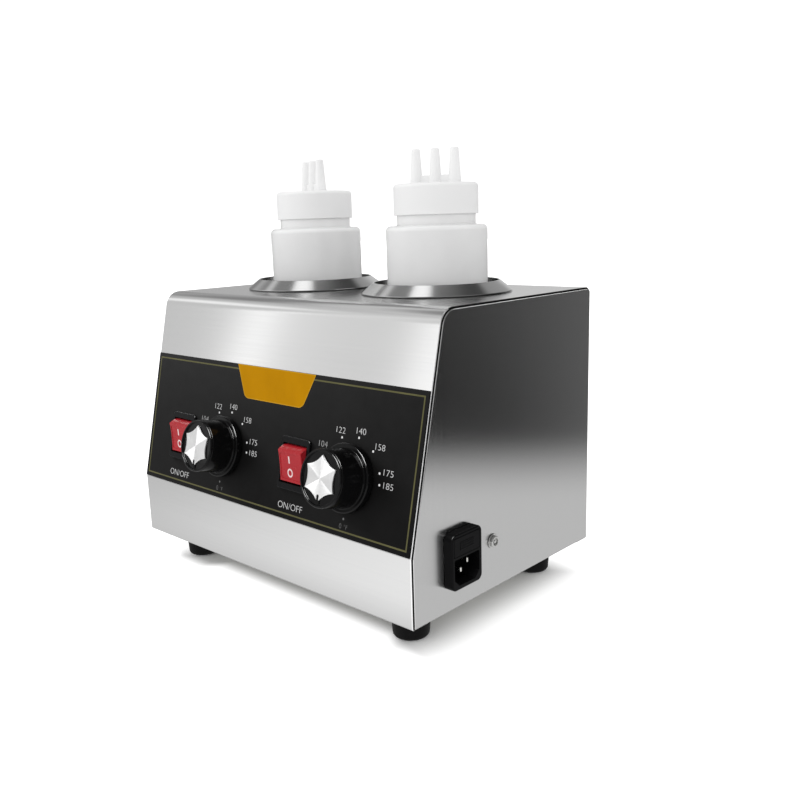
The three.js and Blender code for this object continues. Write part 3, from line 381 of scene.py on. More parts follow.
def lathe(name, corners, sides=96, steps=6):
    """Turns [radius, height, corner radius] points about Z. U runs round the axis."""
    is_ring = corners[0][0] > 0
    profile = outline(corners, steps, not is_ring)
    if is_ring:
        profile.append(profile[0])
    turn = [2 * math.pi * i / sides for i in range(sides)]
    points, rows, lengths = [], [], [0.0]
    for k, p in enumerate(profile):
        if k:
            lengths.append(lengths[-1] + (p - profile[k - 1]).length / GRAIN_UNIT)
        if is_ring and k == len(profile) - 1:
            rows.append(rows[0])
        elif p.x < ON_AXIS:
            rows.append([len(points)] * sides)
            points.append((0, 0, p.y))
        else:
            rows.append(list(range(len(points), len(points) + sides)))
            points.extend((p.x * math.cos(a), p.x * math.sin(a), p.y) for a in turn)
    faces, uvs = [], []
    for k in range(len(profile) - 1):
        for i in range(sides):
            face, uv = [], []
            for spot, level in ((i, k), (i + 1, k), (i + 1, k + 1), (i, k + 1)):
                vertex = rows[level][spot % sides]
                if vertex not in face:
                    face.append(vertex)
                    uv.append((spot / sides, lengths[level]))
            if len(face) > 2:
                faces.append(tuple(face))
                uvs.append(uv)
    return put(name, points, faces, uvs)


def rod(radius, low, high, x=0, y=0, sides=48):
    obj = lathe("tool", [[0, low], [radius, low], [radius, high], [0, high]], sides)
    return moved(obj, Matrix.Translation((x, y, 0)))


def moved(obj, matrix):
    obj.data.transform(matrix)
    return obj


def boolean(obj, tools, operation):
    for tool in tools:
        change = obj.modifiers.new("shape", "BOOLEAN")
        change.object, change.operation, change.solver = tool, operation, "EXACT"
    bpy.context.view_layer.update()
    graph = bpy.context.evaluated_depsgraph_get()
    mesh = bpy.data.meshes.new_from_object(obj.evaluated_get(graph))
    obj.modifiers.clear()
    obj.data = mesh
    for tool in tools:
        bpy.data.objects.remove(tool)
    return obj


def cut(obj, *tools):
    return boolean(obj, tools, "DIFFERENCE")


def fuse(obj, *tools):
    return boolean(obj, tools, "UNION")


def gather(obj, *others):
    """Joins meshes into one object without cutting them."""
    bpy.ops.object.select_all(action="DESELECT")
    for other in (obj, *others):
        other.select_set(True)
    bpy.context.view_layer.objects.active = obj
    bpy.ops.object.join()
    return obj


def finish_piece(obj, name, place, material, body, node, smooth=35):
    """Sets a shape in place in metres, gives it its finish and body, and hides the CAD node that it replaces.
    """
    obj.name = obj.data.name = name
    obj.data.transform(place)
    if place.determinant() < 0:
        obj.data.flip_normals()
    obj.data.materials.clear()
    obj.data.materials.append(material)
    obj.data.polygons.foreach_set("use_smooth", [True] * len(obj.data.polygons))
    obj.data.polygons.foreach_set("material_index", [0] * len(obj.data.polygons))
    obj.data.set_sharp_from_angle(angle=math.radians(smooth))
    weighted = obj.modifiers.new("shading", "WEIGHTED_NORMAL")
    weighted.keep_sharp = True
    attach(obj, body)
    if node:
        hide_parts(node)


# Casing

BEND_STEPS = 12

# The side panel's rounded edge, as distances in from the casing's outline and places on Z.
PANEL_EDGE = (
    (1.6, -0.7), (1.32, -0.66), (1.25, -0.52), (1.28, -0.36), (1.39, -0.17), (1.56, -0.05), (1.8, 0),
)

# The flange behind the seam, painted dark as shade, in the same way, and where its ends are on Y.
FLANGE_EDGE = ((1.3, -9), (1.3, -1.8), (2.1, -1.6), (2.1, -0.65))
FLANGE_FOOT = 2.7


def sheet_path(distance, start, end):
    """The casing's outline drawn inwards, from one point on it to another."""
    return outline([start, *inset(SECTION, distance), end], BEND_STEPS, True)


def along_x(points, x):
    return [(x, a, b) for a, b in points]


def slope_holes():
    """Cutters on the slope for the knobs' shafts and the switches."""
    tools = []
    for across in DIALS.values():
        tools.append(rod(SHAFT_HOLE, -OVERRUN, OVERRUN, across, DIAL_UP))
        tools.append(prism(oblong(*SWITCH_HOLE, 0, across - SWITCH_TO_DIAL, DIAL_UP), -OVERRUN, OVERRUN))
    return tools


def make_wrap():
    half = WIDTH / 2 - SEAM
    lip, rim, painted_shade_edge = 14, 0.75, 0.12
    screw_radius, screw_across, screw_in = 2.2, 95, 7

    def ring(x, edge):
        outer = sheet_path(edge, [lip, edge], [DEPTH - lip, edge])
        inner = sheet_path(SHEET, [lip, SHEET], [DEPTH - lip, SHEET])
        return along_x(outer + inner[::-1], x)

    stations = [(half - distance, edge) for distance, edge in arc_levels(rim, 6)]
    between = [(half * i / 3, 0) for i in range(-2, 3)]
    stations = [(-x, edge) for x, edge in stations[::-1]] + between + stations
    wrap = loft("wrap", [ring(x, edge) for x, edge in stations], swap=True)
    to_slope = CASING.inverted() @ SLOPE
    tools = [moved(tool, to_slope) for tool in slope_holes()]
    for _, sign in SIDES:
        tools.append(rod(WELL_HOLE, HEIGHT - OVERRUN, HEIGHT + OVERRUN, sign * WELL_PITCH, WELL_DEPTH, 96))
        for y in (screw_in, DEPTH - screw_in):
            tools.append(rod(screw_radius, -OVERRUN, OVERRUN, sign * screw_across, y, 24))
    wrap = cut(wrap, *tools)
    finish_piece(wrap, "wrap", CASING, wrap_steel, "casing", "wrap_shell", smooth=50)
    wrap.data.materials.append(painted_shade_steel)
    wrap.data.materials.append(painted_highlight_steel)
    # The faces inside the seams are painted dark as shade, and the rounded rim beside them is painted bright
    # as a highlight; along the top the whole rounded rim is painted dark.
    for polygon in wrap.data.polygons:
        across = abs(polygon.center.x - CASING.translation.x) / MILLIMETRE
        up = (polygon.center.z - CASING.translation.z) / MILLIMETRE
        if across > half - (rim if up > HEIGHT - SHEET else painted_shade_edge):
            polygon.material_index = 1
        elif across > half - rim:
            polygon.material_index = 2


def flange_line(depth):
    start, end = [depth, FLANGE_FOOT], [DEPTH - depth, FLANGE_FOOT]
    return outline([start, *inset(SECTION, depth)[1:4], end], BEND_STEPS, True)


def make_side(name, place, node, holes):
    plate_rings = []
    for distance, z in PANEL_EDGE:
        plate_rings.append([(p.x, p.y, z) for p in outline(inset(SECTION, distance), BEND_STEPS)])
    plate = loft("plate", plate_rings)
    grain = plate.data.uv_layers["grain"].data
    for loop in plate.data.loops:
        p = plate.data.vertices[loop.vertex_index].co
        grain[loop.index].uv = (p.y / GRAIN_UNIT, p.x / GRAIN_UNIT)
    if holes:
        inlet_hole = prism(oblong(*INLET_HOLE, 0, *INLET), -OVERRUN, OVERRUN)
        plate = cut(plate, inlet_hole, rod(EARTH_HOLE, -OVERRUN, OVERRUN, *EARTH))
    flange_rings = []
    for depth, z in FLANGE_EDGE:
        line = flange_line(depth) + flange_line(depth + SHEET)[::-1]
        flange_rings.append([(p.x, p.y, z) for p in line])
    flange = loft("flange", flange_rings)
    plate_faces = len(plate.data.polygons)
    panel = gather(plate, flange)
    finish_piece(panel, name, place, side_steel, "casing", node, smooth=50)
    # The flange behind the seam is painted dark as shade.
    panel.data.materials.append(painted_shade_steel)
    for polygon in panel.data.polygons[plate_faces:]:
        polygon.material_index = 1


def make_well(side, sign):
    bore, wall, deep = 45.8, 0.9, 132
    rim_up, brim = 8.2, 55.8
    profile = [
        [0, -deep], [bore, -deep, 7], [bore, rim_up, 0.35], [bore + 0.95, rim_up, 0.5], [brim, 1.05, 0.25],
        [brim - 0.1, 0.7], [brim - 0.8, 0.7], [brim - 1.2, 0.15], [brim - 1.6, 0.15], [bore + 1.1, 6.4, 1],
        [bore + wall, 6.4], [bore + wall, -deep - wall, 7 + wall], [0, -deep - wall],
    ]
    well = lathe("well", profile, 160)
    place = CASING @ Matrix.Translation((sign * WELL_PITCH, WELL_DEPTH, HEIGHT))
    finish_piece(well, f"well_cup_{side}", place, spun_steel, "casing", f"well_{side}")


def make_foot(name, x, y):
    bore, socket, inside, tall = 2.5, 5.5, 1, 22.8
    foot = lathe("foot", [
        [bore, inside], [bore, -10.8], [socket, -10.8], [socket, -tall],
        [12.4, -tall, 3], [13.2, -12.5, 2], [13.6, -2.2, 0.8], [13.9, inside],
    ], 64)
    place = CASING @ Matrix.Translation((x, y, 0))
    finish_piece(foot, name, place, rubber, "casing", name.replace("pad_", "foot_"))


def make_casing():
    across, front, back = 119, 31, 174
    make_wrap()
    make_side("panel_right", SIDE, "side_panel_right", True)
    mirror = CASING @ Matrix.Scale(-1, 4, (1, 0, 0)) @ SIDE_FROM_MIDDLE
    make_side("panel_left", mirror, "side_panel_left", False)
    for side, sign in SIDES:
        make_well(side, sign)
        make_foot(f"pad_front_{side}", sign * across, front)
        make_foot(f"pad_back_{side}", sign * across, back)


# Bottles, drawn from the underside of the bottle

BOTTLE_UP = 65.3
CAP_TOP = 209.4
NOZZLE_PITCH = 14.7
PLASTIC_WALL = 1.6


def screw_thread(root, crest, start, pitch, turns):
    """A ridge that winds up round the Z axis."""
    sides, run_out, foot, flat = 64, 5, 0.95, 0.35
    steps = round(sides * turns)
    rings = []
    for k in range(steps + 1):
        angle, z = 2 * math.pi * k / sides, start + pitch * k / sides
        reach = root + (crest - root) * min(1, k / run_out, (steps - k) / run_out)
        corners = ((root, z - foot), (reach, z - flat), (reach, z + flat), (root, z + foot))
        rings.append([(r * math.cos(angle), r * math.sin(angle), h) for r, h in corners])
    return loft("thread", rings)


def make_bottle(side, place):
    radius, neck, shoulder, mouth, dent = 37, 28.6, 180, 207.5, 2.5
    wall = PLASTIC_WALL
    profile = [
        [0, dent], [neck - wall, dent, 2], [29, 0, 1], [radius, 0, 5], [radius, shoulder, 3.6],
        [neck + 0.8, shoulder, 0.8], [neck, shoulder + 1, 0.6], [neck, mouth, 0.5], [neck - wall, mouth, 0.5],
        [neck - wall, shoulder - wall, 1], [radius - wall, shoulder - wall, 2.4],
        [radius - wall, dent + wall, 4], [0, dent + wall],
    ]
    thread = screw_thread(neck - 0.3, neck + 0.35, start=190.5, pitch=4.4, turns=2.6)
    bottle = gather(lathe("bottle", profile, sides=128, steps=8), thread)
    name, node = f"bottle_body_{side}", f"bottle_{side}"
    finish_piece(bottle, name, place, bottle_white, f"{side}_bottle", node)


def make_cap(side, place, turn):
    radius, skirt, sunk, top = 30.7, 187.6, 1.2, CAP_TOP
    inside = radius - PLASTIC_WALL
    shell = lathe("cap", [
        [0, top - PLASTIC_WALL], [inside, top - PLASTIC_WALL, 0.6], [inside, skirt],
        [radius, skirt, 0.6], [radius, top, 2.6], [0, top],
    ], sides=128, steps=8)
    dip = [(4.2, 6.4), (2.4, 5.5), (-2.4, 5.5), (-4.2, 6.4)]
    pitch = NOZZLE_PITCH
    saddle = [(-pitch, -sunk), (pitch, -sunk), (pitch, 7.2)]
    saddle += [(x + pitch / 2, up) for x, up in dip] + [(0, 7.0)] + [(x - pitch / 2, up) for x, up in dip]
    saddle = [(x, top + up) for x, up in [*saddle, (-pitch, 7.2)]]
    web = slab("web", saddle, -1.7, 1.7, top=0.5, bottom=0.5, edge_steps=2)
    web = moved(web, Matrix.Rotation(math.pi / 2, 4, "X"))
    tip, bore = 24.78, 1.3
    nozzles, bores = [], []
    for x in (-NOZZLE_PITCH, 0, NOZZLE_PITCH):
        nozzle = lathe("nozzle", [
            [0, top - sunk], [4.9, top - sunk], [4.7, top + 0.6, 0.5],
            [4.25, top + 5, 2], [3.0, top + tip, 1.3], [0, top + tip],
        ], 40)
        nozzles.append(moved(nozzle, Matrix.Translation((x, 0, 0))))
        bores.append(rod(bore, top - PLASTIC_WALL - OVERRUN, top + tip + OVERRUN, x, 0, 24))
    cap = cut(fuse(shell, *nozzles, web), *bores)
    moved(cap, Matrix.Rotation(math.radians(turn), 4, "Z"))
    finish_piece(cap, f"cap_{side}", place, cap_white, f"{side}_cap", f"nozzle_cap_{side}")


# Knobs and switches on the slope

STAR_TIP = 15.1
STAR_WAIST = 10.3
STAR_TOP, STAR_FLOOR = 26.3, 25.3
STAR_GRAIN = 0.016


def star_radius(angle):
    """How far the star reaches in a direction, from its points and hollow sides."""
    sector = math.pi / 3
    local = (angle - math.pi / 2) % sector
    first, second = Vector((STAR_TIP, 0)), STAR_TIP * Vector((math.cos(sector), math.sin(sector)))
    waist = STAR_WAIST * Vector((math.cos(sector / 2), math.sin(sector / 2)))
    below, above = 0.0, 1.0
    for _ in range(30):
        t = (below + above) / 2
        p = first * (1 - t) ** 2 + waist * 2 * t * (1 - t) + second * t ** 2
        if math.atan2(p.y, p.x) < local:
            below = t
        else:
            above = t
    return p.length


def make_star(name, place, body, node):
    """A foil star with rounded edges, in rings round its middle so that its grain runs round too."""
    sides, rings = 216, 10
    levels = [(k / rings, STAR_TOP, 0) for k in range(1, rings)]
    for edge, down in ((0.22, 0), (0.07, 0.07), (0, 0.22), (0, STAR_TOP - STAR_FLOOR)):
        levels.append((1, STAR_TOP - down, edge))
    points = [(0, 0, STAR_TOP)]
    for share, z, edge in levels:
        for i in range(sides):
            angle = 2 * math.pi * i / sides
            radius = (star_radius(angle) - edge) * share
            points.append((radius * math.cos(angle), radius * math.sin(angle), z))
    last, under = 1 + (len(levels) - 1) * sides, len(points)
    points.append((0, 0, STAR_FLOOR))
    faces, uvs = [], []
    for i in range(sides):
        j = (i + 1) % sides
        u, w = i / sides, (i + 1) / sides
        faces.append((0, 1 + i, 1 + j))
        uvs.append([((u + w) / 2, 0), (u, STAR_GRAIN), (w, STAR_GRAIN)])
        for r in range(len(levels) - 1):
            a, b = 1 + r * sides, 1 + (r + 1) * sides
            inner, outer = r * STAR_GRAIN, (r + 1) * STAR_GRAIN
            faces.append((a + i, b + i, b + j, a + j))
            uvs.append([(u, inner), (u, outer), (w, outer), (w, inner)])
        faces.append((last + i, under, last + j))
        uvs.append([(u, 0.2), (u, 0.3), (w, 0.2)])
    star = put("star", points, faces, uvs)
    notch = prism(oblong(2.2, 8, 1.05, 0, -14.1), 20, 30)
    finish_piece(cut(star, notch), name, place, star_foil, body, node, smooth=40)


def make_knob(side):
    place = SLOPE @ Matrix.Translation((DIALS[side], DIAL_UP, 0))
    body = f"{side}_knob"
    skirt, foot, under, face, rim = 23, 1.5, 20, 25, 26.35
    knob = lathe("knob", [
        [0, under], [17, under, 1], [17, foot], [skirt, foot, 0.4], [skirt, 6.5, 1.1], [20.1, 6.5, 0.5],
        [19.75, 7.4, 0.4], [19.15, 24.3, 0.25], [18.75, 24.55, 0.15], [19.05, 24.9, 0.3], [18.9, rim, 0.95],
        [17.4, rim, 0.5], [17.1, face, 0.4], [0, face],
    ], 144)
    rib = slab("rib", oblong(2.1, 6, 0.5, 0, -13.6), face - 0.5, face + 0.7, top=0.3)
    boss = cut(rod(6.5, 5.1, under + 1), rod(3.3, 3, 22.5))
    knob = gather(knob, rib, boss)
    finish_piece(knob, f"dial_{side}", place, knob_black, body, f"knob_{side}")
    make_star(f"dial_star_{side}", place, body, f"knob_star_{side}")


def make_bezel(side, centre):
    bezel = slab("bezel", oblong(29.5, 37, 2.6), 1.1, 2.8, top=0.9, bottom=0.15, steps=8, edge_steps=4)
    body = slab("body", oblong(26.8, 30.2, 0.6), -24, 1.9)
    cavity = prism(oblong(24.6, 28.0, 0.3), -11.5, 6)
    housing = cut(fuse(bezel, body), cavity)
    blades = [slab("blade", oblong(6.3, 0.8, 0, 0, i * 8), -32, -23.5) for i in (-1, 0, 1)]
    name, node = f"bezel_{side}", f"switch_housing_{side}"
    finish_piece(gather(housing, *blades), name, centre, switch_black, "casing", node)


# A rocker is drawn about its pivot: round ends at SWING, and a hollow face up to CROWN.
SWING, CROWN, TAIL = 13.6, 7.9, 2.0
CROWN_HALF = math.sqrt(SWING ** 2 - CROWN ** 2)
ROCKER_HALF = 12.0
SAG = 0.5
DISH = 0.36


def rocker_section(edge):
    """Round ends about the pivot, and the hollow face between them, drawn in by edge."""
    start, end = math.pi / 2 + math.asin(TAIL / SWING), math.atan2(CROWN_HALF, CROWN)
    ends = []
    for k in range(13):
        angle = start + (end - start) * k / 12
        ends.append(((edge - SWING) * math.sin(angle), (SWING - edge) * math.cos(angle)))
    ends[0] = (ends[0][0], edge - TAIL)
    reach = -ends[-1][0]
    shares = [k / 12 - 1 for k in range(1, 24)]
    face = [(share * reach, CROWN - edge - SAG * (1 - share * share)) for share in shares]
    return ends + face + [(-x, y) for x, y in ends[::-1]]


def dish_height(y):
    return CROWN - DISH - SAG * (1 - (y / CROWN_HALF) ** 2)


def make_rocker(side, centre):
    rings = [(0, 0.55), (0.1, 0.3), (0.28, 0.12), (0.55, 0)]
    rings = [(x - ROCKER_HALF, edge) for x, edge in rings]
    rings += [(-x, edge) for x, edge in rings[::-1]]
    key = loft("rocker", [along_x(rocker_section(edge), x) for x, edge in rings])
    reach, wide = CROWN_HALF - 1.7, ROCKER_HALF - 1.3
    hollow = [(reach * i / 8, dish_height(reach * i / 8)) for i in range(-8, 9)]
    hollow += [(reach, 12), (-reach, 12)]
    dish = loft("dish", [along_x(hollow, x) for x in (-wide, wide)])
    plan = slab("plan", oblong(2 * wide, 2 * reach, 2.2), 0, 14)
    key = cut(key, boolean(dish, [plan], "INTERSECT"))
    pin = moved(rod(1.2, -12.8, 12.8, sides=24), Matrix.Rotation(math.pi / 2, 4, "Y"))
    pivot = centre @ Matrix.Translation((0, 0, -2.8)) @ Matrix.Rotation(math.radians(14.5), 4, "X")
    body, node, slot = f"{side}_rocker", f"rocker_{side}", "rocker_red"
    finish_piece(gather(key, pin), f"key_{side}", pivot, rocker_red, body, node, smooth=28)

    low, high = -0.1, 0.06
    stroke = slab("stroke", oblong(1.3, 5.2, 0.15, -1.5, 4.7), low, high)
    ring = lathe("ring", [[1.75, low], [2.75, low], [2.75, high], [1.75, high]], 48)
    moved(ring, Matrix.Translation((-1.3, -4.7, 0)) @ Matrix.Diagonal((1, 1.15, 1, 1)))
    symbols = gather(stroke, ring)
    for vertex in symbols.data.vertices:
        vertex.co.z += dish_height(vertex.co.y)
    finish_piece(symbols, f"key_symbols_{side}", pivot, symbol_white, body, None)


# Label, drawn from the metal of the slope outwards

LABEL_MIDDLE = 52.2
LABEL_TOP = 0.8
PRINT_LOW, PRINT_TOP = 0.79, 0.825
PRINT_THICK = 0.012
DOT = 0.8

# The numbers round each dial and where they stand, in degrees clockwise from the top.
DIAL_MARKS = (("104", -57), ("122", -24), ("140", 9.5), ("158", 42.5), ("175", 74.5), ("185", 90))
NUDGES = {"158": (0.8, -1.6), "185": (-0.3, 0.2)}


def lettering(body, size, x, y, width=None):
    curve = bpy.data.curves.new("text", "FONT")
    curve.body, curve.size, curve.align_x, curve.align_y = body, size, "CENTER", "CENTER"
    curve.extrude, curve.resolution_u, curve.offset = PRINT_THICK, 4, -0.016 * size
    source = new_object("text", curve)
    bpy.context.view_layer.update()
    mesh = bpy.data.meshes.new_from_object(source.evaluated_get(bpy.context.evaluated_depsgraph_get()))
    bpy.data.objects.remove(source)
    xs = [v.co.x for v in mesh.vertices]
    squeeze = width / (max(xs) - min(xs)) if width else 1
    spot = Matrix.Translation((x, y, LABEL_TOP + PRINT_THICK))
    mesh.transform(spot @ Matrix.Diagonal((squeeze, 1, 1, 1)))
    for layer in list(mesh.uv_layers):
        mesh.uv_layers.remove(layer)
    mesh.uv_layers.new(name="grain")
    return new_object("text", mesh)


def on_label(obj, name, material):
    finish_piece(obj, name, SLOPE, material, "casing", None)


def make_plate():
    corners = oblong(296.2, 102.8, 0.4, 0, LABEL_MIDDLE)
    label = slab("label", corners, 0.3, LABEL_TOP, top=0.12, steps=2, edge_steps=2)
    label = cut(label, *slope_holes())
    finish_piece(label, "label", SLOPE, label_film, "casing", "control_label")

    width, height, stroke = 290.6, 96.5, 1.1
    border = slab("line", oblong(width, height, 0.3, 0, LABEL_MIDDLE), 0.75, 0.83)
    inside = oblong(width - 2 * stroke, height - 2 * stroke, 0.2, 0, LABEL_MIDDLE)
    on_label(cut(border, prism(inside, 0, 2)), "label_border", border_gold)

    corners = [[-28.8, 79.1, 6.5], [35.5, 79.1, 6.5], [45.7, 103.4, 0.1], [-41.5, 103.4, 0.1]]
    edge = slab("tab_edge", corners, 0.7, 0.85, steps=8)
    on_label(cut(edge, prism(inset(corners, 0.55), 0, 2, 8)), "label_tab_edge", tab_edge)
    on_label(slab("tab", inset(corners, 0.5), 0.7, 0.84, steps=8), "label_tab", tab_amber)


def make_print():
    dots_out, numbers_out, wider = 27.2, 31.9, 2.8
    # The photo's print is a little off the shafts.
    print_off = {"left": (0.8, -0.4), "right": (0.8, 0.4)}
    marks, dots, dim, faint = [], [], [], []
    for side, across in DIALS.items():
        middle = Vector((across, DIAL_UP)) + Vector(print_off[side])
        for number, clock in DIAL_MARKS:
            way = Vector((math.sin(math.radians(clock)), math.cos(math.radians(clock))))
            spot = middle + dots_out * way
            dots.append(rod(DOT, PRINT_LOW, PRINT_TOP, spot.x, spot.y, 20))
            spot = middle + (numbers_out + wider * abs(way.x)) * way + Vector(NUDGES.get(number, (0, -0.9)))
            words = faint if number == "104" else marks
            words.append(lettering(number, 6, spot.x, spot.y, 8.4))
        marks.append(lettering("ON/OFF", 6.8, across - SWITCH_TO_DIAL, 9.8, 25.5))
        dim.append(rod(DOT, PRINT_LOW, PRINT_TOP, across, 12.8, 20))
        dim.append(lettering("0", 5, across - 2.2, 7.6))
        dim.append(lettering("°F", 4.2, across + 2.8, 7.6))
    on_label(gather(*marks), "label_print", print_white)
    on_label(gather(*faint), "label_print_faint", print_faint)
    on_label(gather(*dots), "label_dots", print_dots)
    on_label(gather(*dim), "label_print_dim", print_grey)


# Inlet and earth terminal

DRAWER_UP = 9.6


def make_inlet():
    place = SIDE @ Matrix.Translation((*INLET, 0))
    bezel = oblong(30.9, 38, 4.5, 0.3, -0.7)
    bezel = slab("bezel", bezel, 0.3, 7, top=1.1, bottom=0.2, steps=10, edge_steps=4)
    body = slab("body", oblong(27.6, 34, 0.6), -23, 3.5)
    half, bevel, low, high = 12.7, 4.5, -16.7, 1.5
    socket = [
        [bevel - half, low], [half - bevel, low], [half, low + bevel],
        [half, high], [-half, high], [-half, low + bevel],
    ]
    tools = [
        prism([[*corner, 1.2] for corner in socket], -9, 10),
        prism(oblong(26.6, 13, 0.8, 0, DRAWER_UP), 4.9, 10),
        prism(oblong(24.2, 10, 0.6, 0, DRAWER_UP), -16.1, 10),
    ]
    inlet = cut(fuse(bezel, body), *tools)
    finish_piece(inlet, "inlet", place, inlet_black, "casing", "inlet_housing")

    face = slab("face", oblong(26, 12.4, 0.9, 0, DRAWER_UP), 5.2, 7.1, top=0.4)
    tray = slab("tray", oblong(23.6, 9.4, 0.4, 0, DRAWER_UP), -15.8, 6)
    grip = slab("grip", oblong(14, 5.6, 0.6, 0, DRAWER_UP), 6.9, 7.4, top=0.25)
    grooves = [prism(oblong(12.4, 0.7, 0.2, 0, DRAWER_UP + i * 1.7), 7.15, 9) for i in (-1, 0, 1)]
    drawer = gather(face, tray, cut(grip, *grooves))
    finish_piece(drawer, "drawer_front", place, inlet_black, "drawer", "fuse_drawer")

    for name, x, y in (("live", -7, -5.0), ("neutral", 7, -5.0), ("earth", 0, -9.6)):
        blade = oblong(2, 4, 0.95, x, y)
        pin = slab("pin", blade, -30, 2, top=0.85, bottom=0.2, steps=5, edge_steps=5)
        finish_piece(pin, f"pin_{name}", place, tinned, "casing", f"inlet_pin_{name}")


def make_earth():
    place = SIDE @ Matrix.Translation((*EARTH, 0))
    shank, head, under, top, slot = 2.3, 4.0, 1.2, 2.9, 1.5
    screw = lathe("head", [
        [0, -10], [shank, -10, 0.4], [shank, under], [head, under, 0.2], [head, top, 0.5], [2.6, top, 0.2],
        [2.5, slot], [1.3, slot], [1.2, top - 0.3, 0.3], [0, top - 0.3],
    ], 64)
    finish_piece(screw, "terminal_screw", place, bright_steel, "casing", "earth_screw")
    washer = lathe("washer", [[2.7, 0.3], [5.1, 0.3, 0.2], [5.1, 1.1, 0.25], [2.7, 1.1, 0.2]], 64)
    finish_piece(washer, "terminal_washer", place, bright_steel, "casing", "earth_washer")


# CAD pieces that stay

def dress_cad():
    looks = {
        "plated_steel": zinc, "brass": brass, "heater_sheath": heater_tin, "mineral_wool": wool,
        "block_plastic": block, "fuse_glass": glass, "wire_brown": wire_brown, "wire_blue": wire_blue,
        "wire_green": wire_green, "earth_steel": bright_steel,
    }
    for part in frame["record"]["subparts"]:
        if part["material_slot"] in looks:
            data = frame["nodes"][part["node"]].data
            data.materials.clear()
            data.materials.append(looks[part["material_slot"]])


# Camera, in millimetres and degrees

CAMERA_SPOT = (480.476, -361.048, 248.815)
CAMERA_YAW, CAMERA_PITCH, CAMERA_ROLL = 42.985, 11.759, -1.752
LENS, SENSOR = 38.615, 36


def make_camera():
    yaw, pitch, roll = (math.radians(angle) for angle in (CAMERA_YAW, CAMERA_PITCH, CAMERA_ROLL))
    forward = Vector((-math.sin(yaw) * math.cos(pitch), math.cos(yaw) * math.cos(pitch), -math.sin(pitch)))
    right = Vector((math.cos(yaw), math.sin(yaw), 0))
    up = right.cross(forward)
    right, up = math.cos(roll) * right + math.sin(roll) * up, -math.sin(roll) * right + math.cos(roll) * up
    data = bpy.data.cameras.new("camera")
    data.lens, data.sensor_width, data.clip_start = LENS, SENSOR, 0.01
    camera = new_object("camera", data)
    turn = Matrix((right, up, -forward)).transposed().to_4x4()
    camera.matrix_world = Matrix.Translation(CASING @ Vector(CAMERA_SPOT)) @ turn
    bpy.context.scene.camera = camera


# Studio, in metres and degrees

# How bright the studio looks in a mirror, by degrees round from -X towards -Y, near eye level.
AROUND = [
    (-180, 0.30), (-150, 0.12), (-115, 0.12), (-95, 0.45), (-75, 0.50), (-65, 0.84), (-54.5, 0.82),
    (-51.5, 0.64), (-44, 0.62), (-34, 0.60), (-22, 0.55), (-8, 0.68), (4, 0.82), (16, 0.92), (31, 0.98),
    (35, 1.04), (38.6, 1.28), (43, 1.15), (47.4, 1.10), (83, 1.0), (88, 0.8), (130, 0.6), (180, 0.30),
]

# How bright the studio is for light that isn't mirrored, and straight behind the object.
AMBIENT = 1.3
BACKDROP = 1.4

# Lights that make highlights on some pieces only: name, place, size, watts and pieces.
BLACK_PIECES = ("dial_left", "dial_right", "bezel_left", "bezel_right", "inlet")
HIGHLIGHTS = (
    ("glint", (0.36, -0.52, 1.3), 0.9, 180, BLACK_PIECES),
    ("edge", (0.32, 1.05, 1.05), 0.6, 2.7, ("panel_left", "panel_right")),
    ("sunray", (-0.85, -1.0, 0.74), 0.7, 3.6, ("dial_star_left", "dial_star_right")),
    ("sheen", (-1.0, -0.12, 0.82), 0.6, 60, ("label",)),
)
LIGHTS_AIM = (0, 0, 0.12)


class Sums:
    """Sums on numbers in a shader's node tree."""

    def __init__(self, tree):
        self.nodes, self.links = tree.nodes, tree.links

    def feed(self, socket, source):
        if isinstance(source, (int, float)):
            socket.default_value = source
        else:
            self.links.new(source, socket)

    def math(self, kind, *sources):
        node = self.nodes.new("ShaderNodeMath")
        node.operation = kind
        for socket, source in zip(node.inputs, sources):
            self.feed(socket, source)
        return node.outputs[0]

    def add(self, total, *others):
        for other in others:
            total = self.math("ADD", total, other)
        return total

    def times(self, total, *others):
        for other in others:
            total = self.math("MULTIPLY", total, other)
        return total

    def rise(self, source, start, end, low=0.0, high=1.0):
        """A soft step from low at start to high at end."""
        node = self.nodes.new("ShaderNodeMapRange")
        node.interpolation_type = "SMOOTHSTEP"
        limits = {"From Min": start, "From Max": end, "To Min": low, "To Max": high}
        for key, value in {"Value": source, **limits}.items():
            self.feed(node.inputs[key], value)
        return node.outputs["Result"]

    def band(self, source, start, end, soft):
        """1 from start to end, with soft steps at both."""
        up = self.rise(source, start - soft, start + soft)
        return self.times(up, self.rise(source, end - soft, end + soft, 1.0, 0.0))

    def ramp(self, source, stops):
        """Straight lines between stops of (position, value up to 2), for a source from 0 to 1."""
        node = self.nodes.new("ShaderNodeValToRGB")
        points = node.color_ramp.elements
        while len(points) < len(stops):
            points.new(0.5)
        for point, (position, value) in zip(points, stops):
            point.position = position
            point.color = (*grey(value / 2), 1)
        self.feed(node.inputs["Fac"], source)
        return self.times(node.outputs["Color"], 2.0)

    def mix(self, share, first, second):
        return self.add(first, self.times(self.math("SUBTRACT", second, first), share))


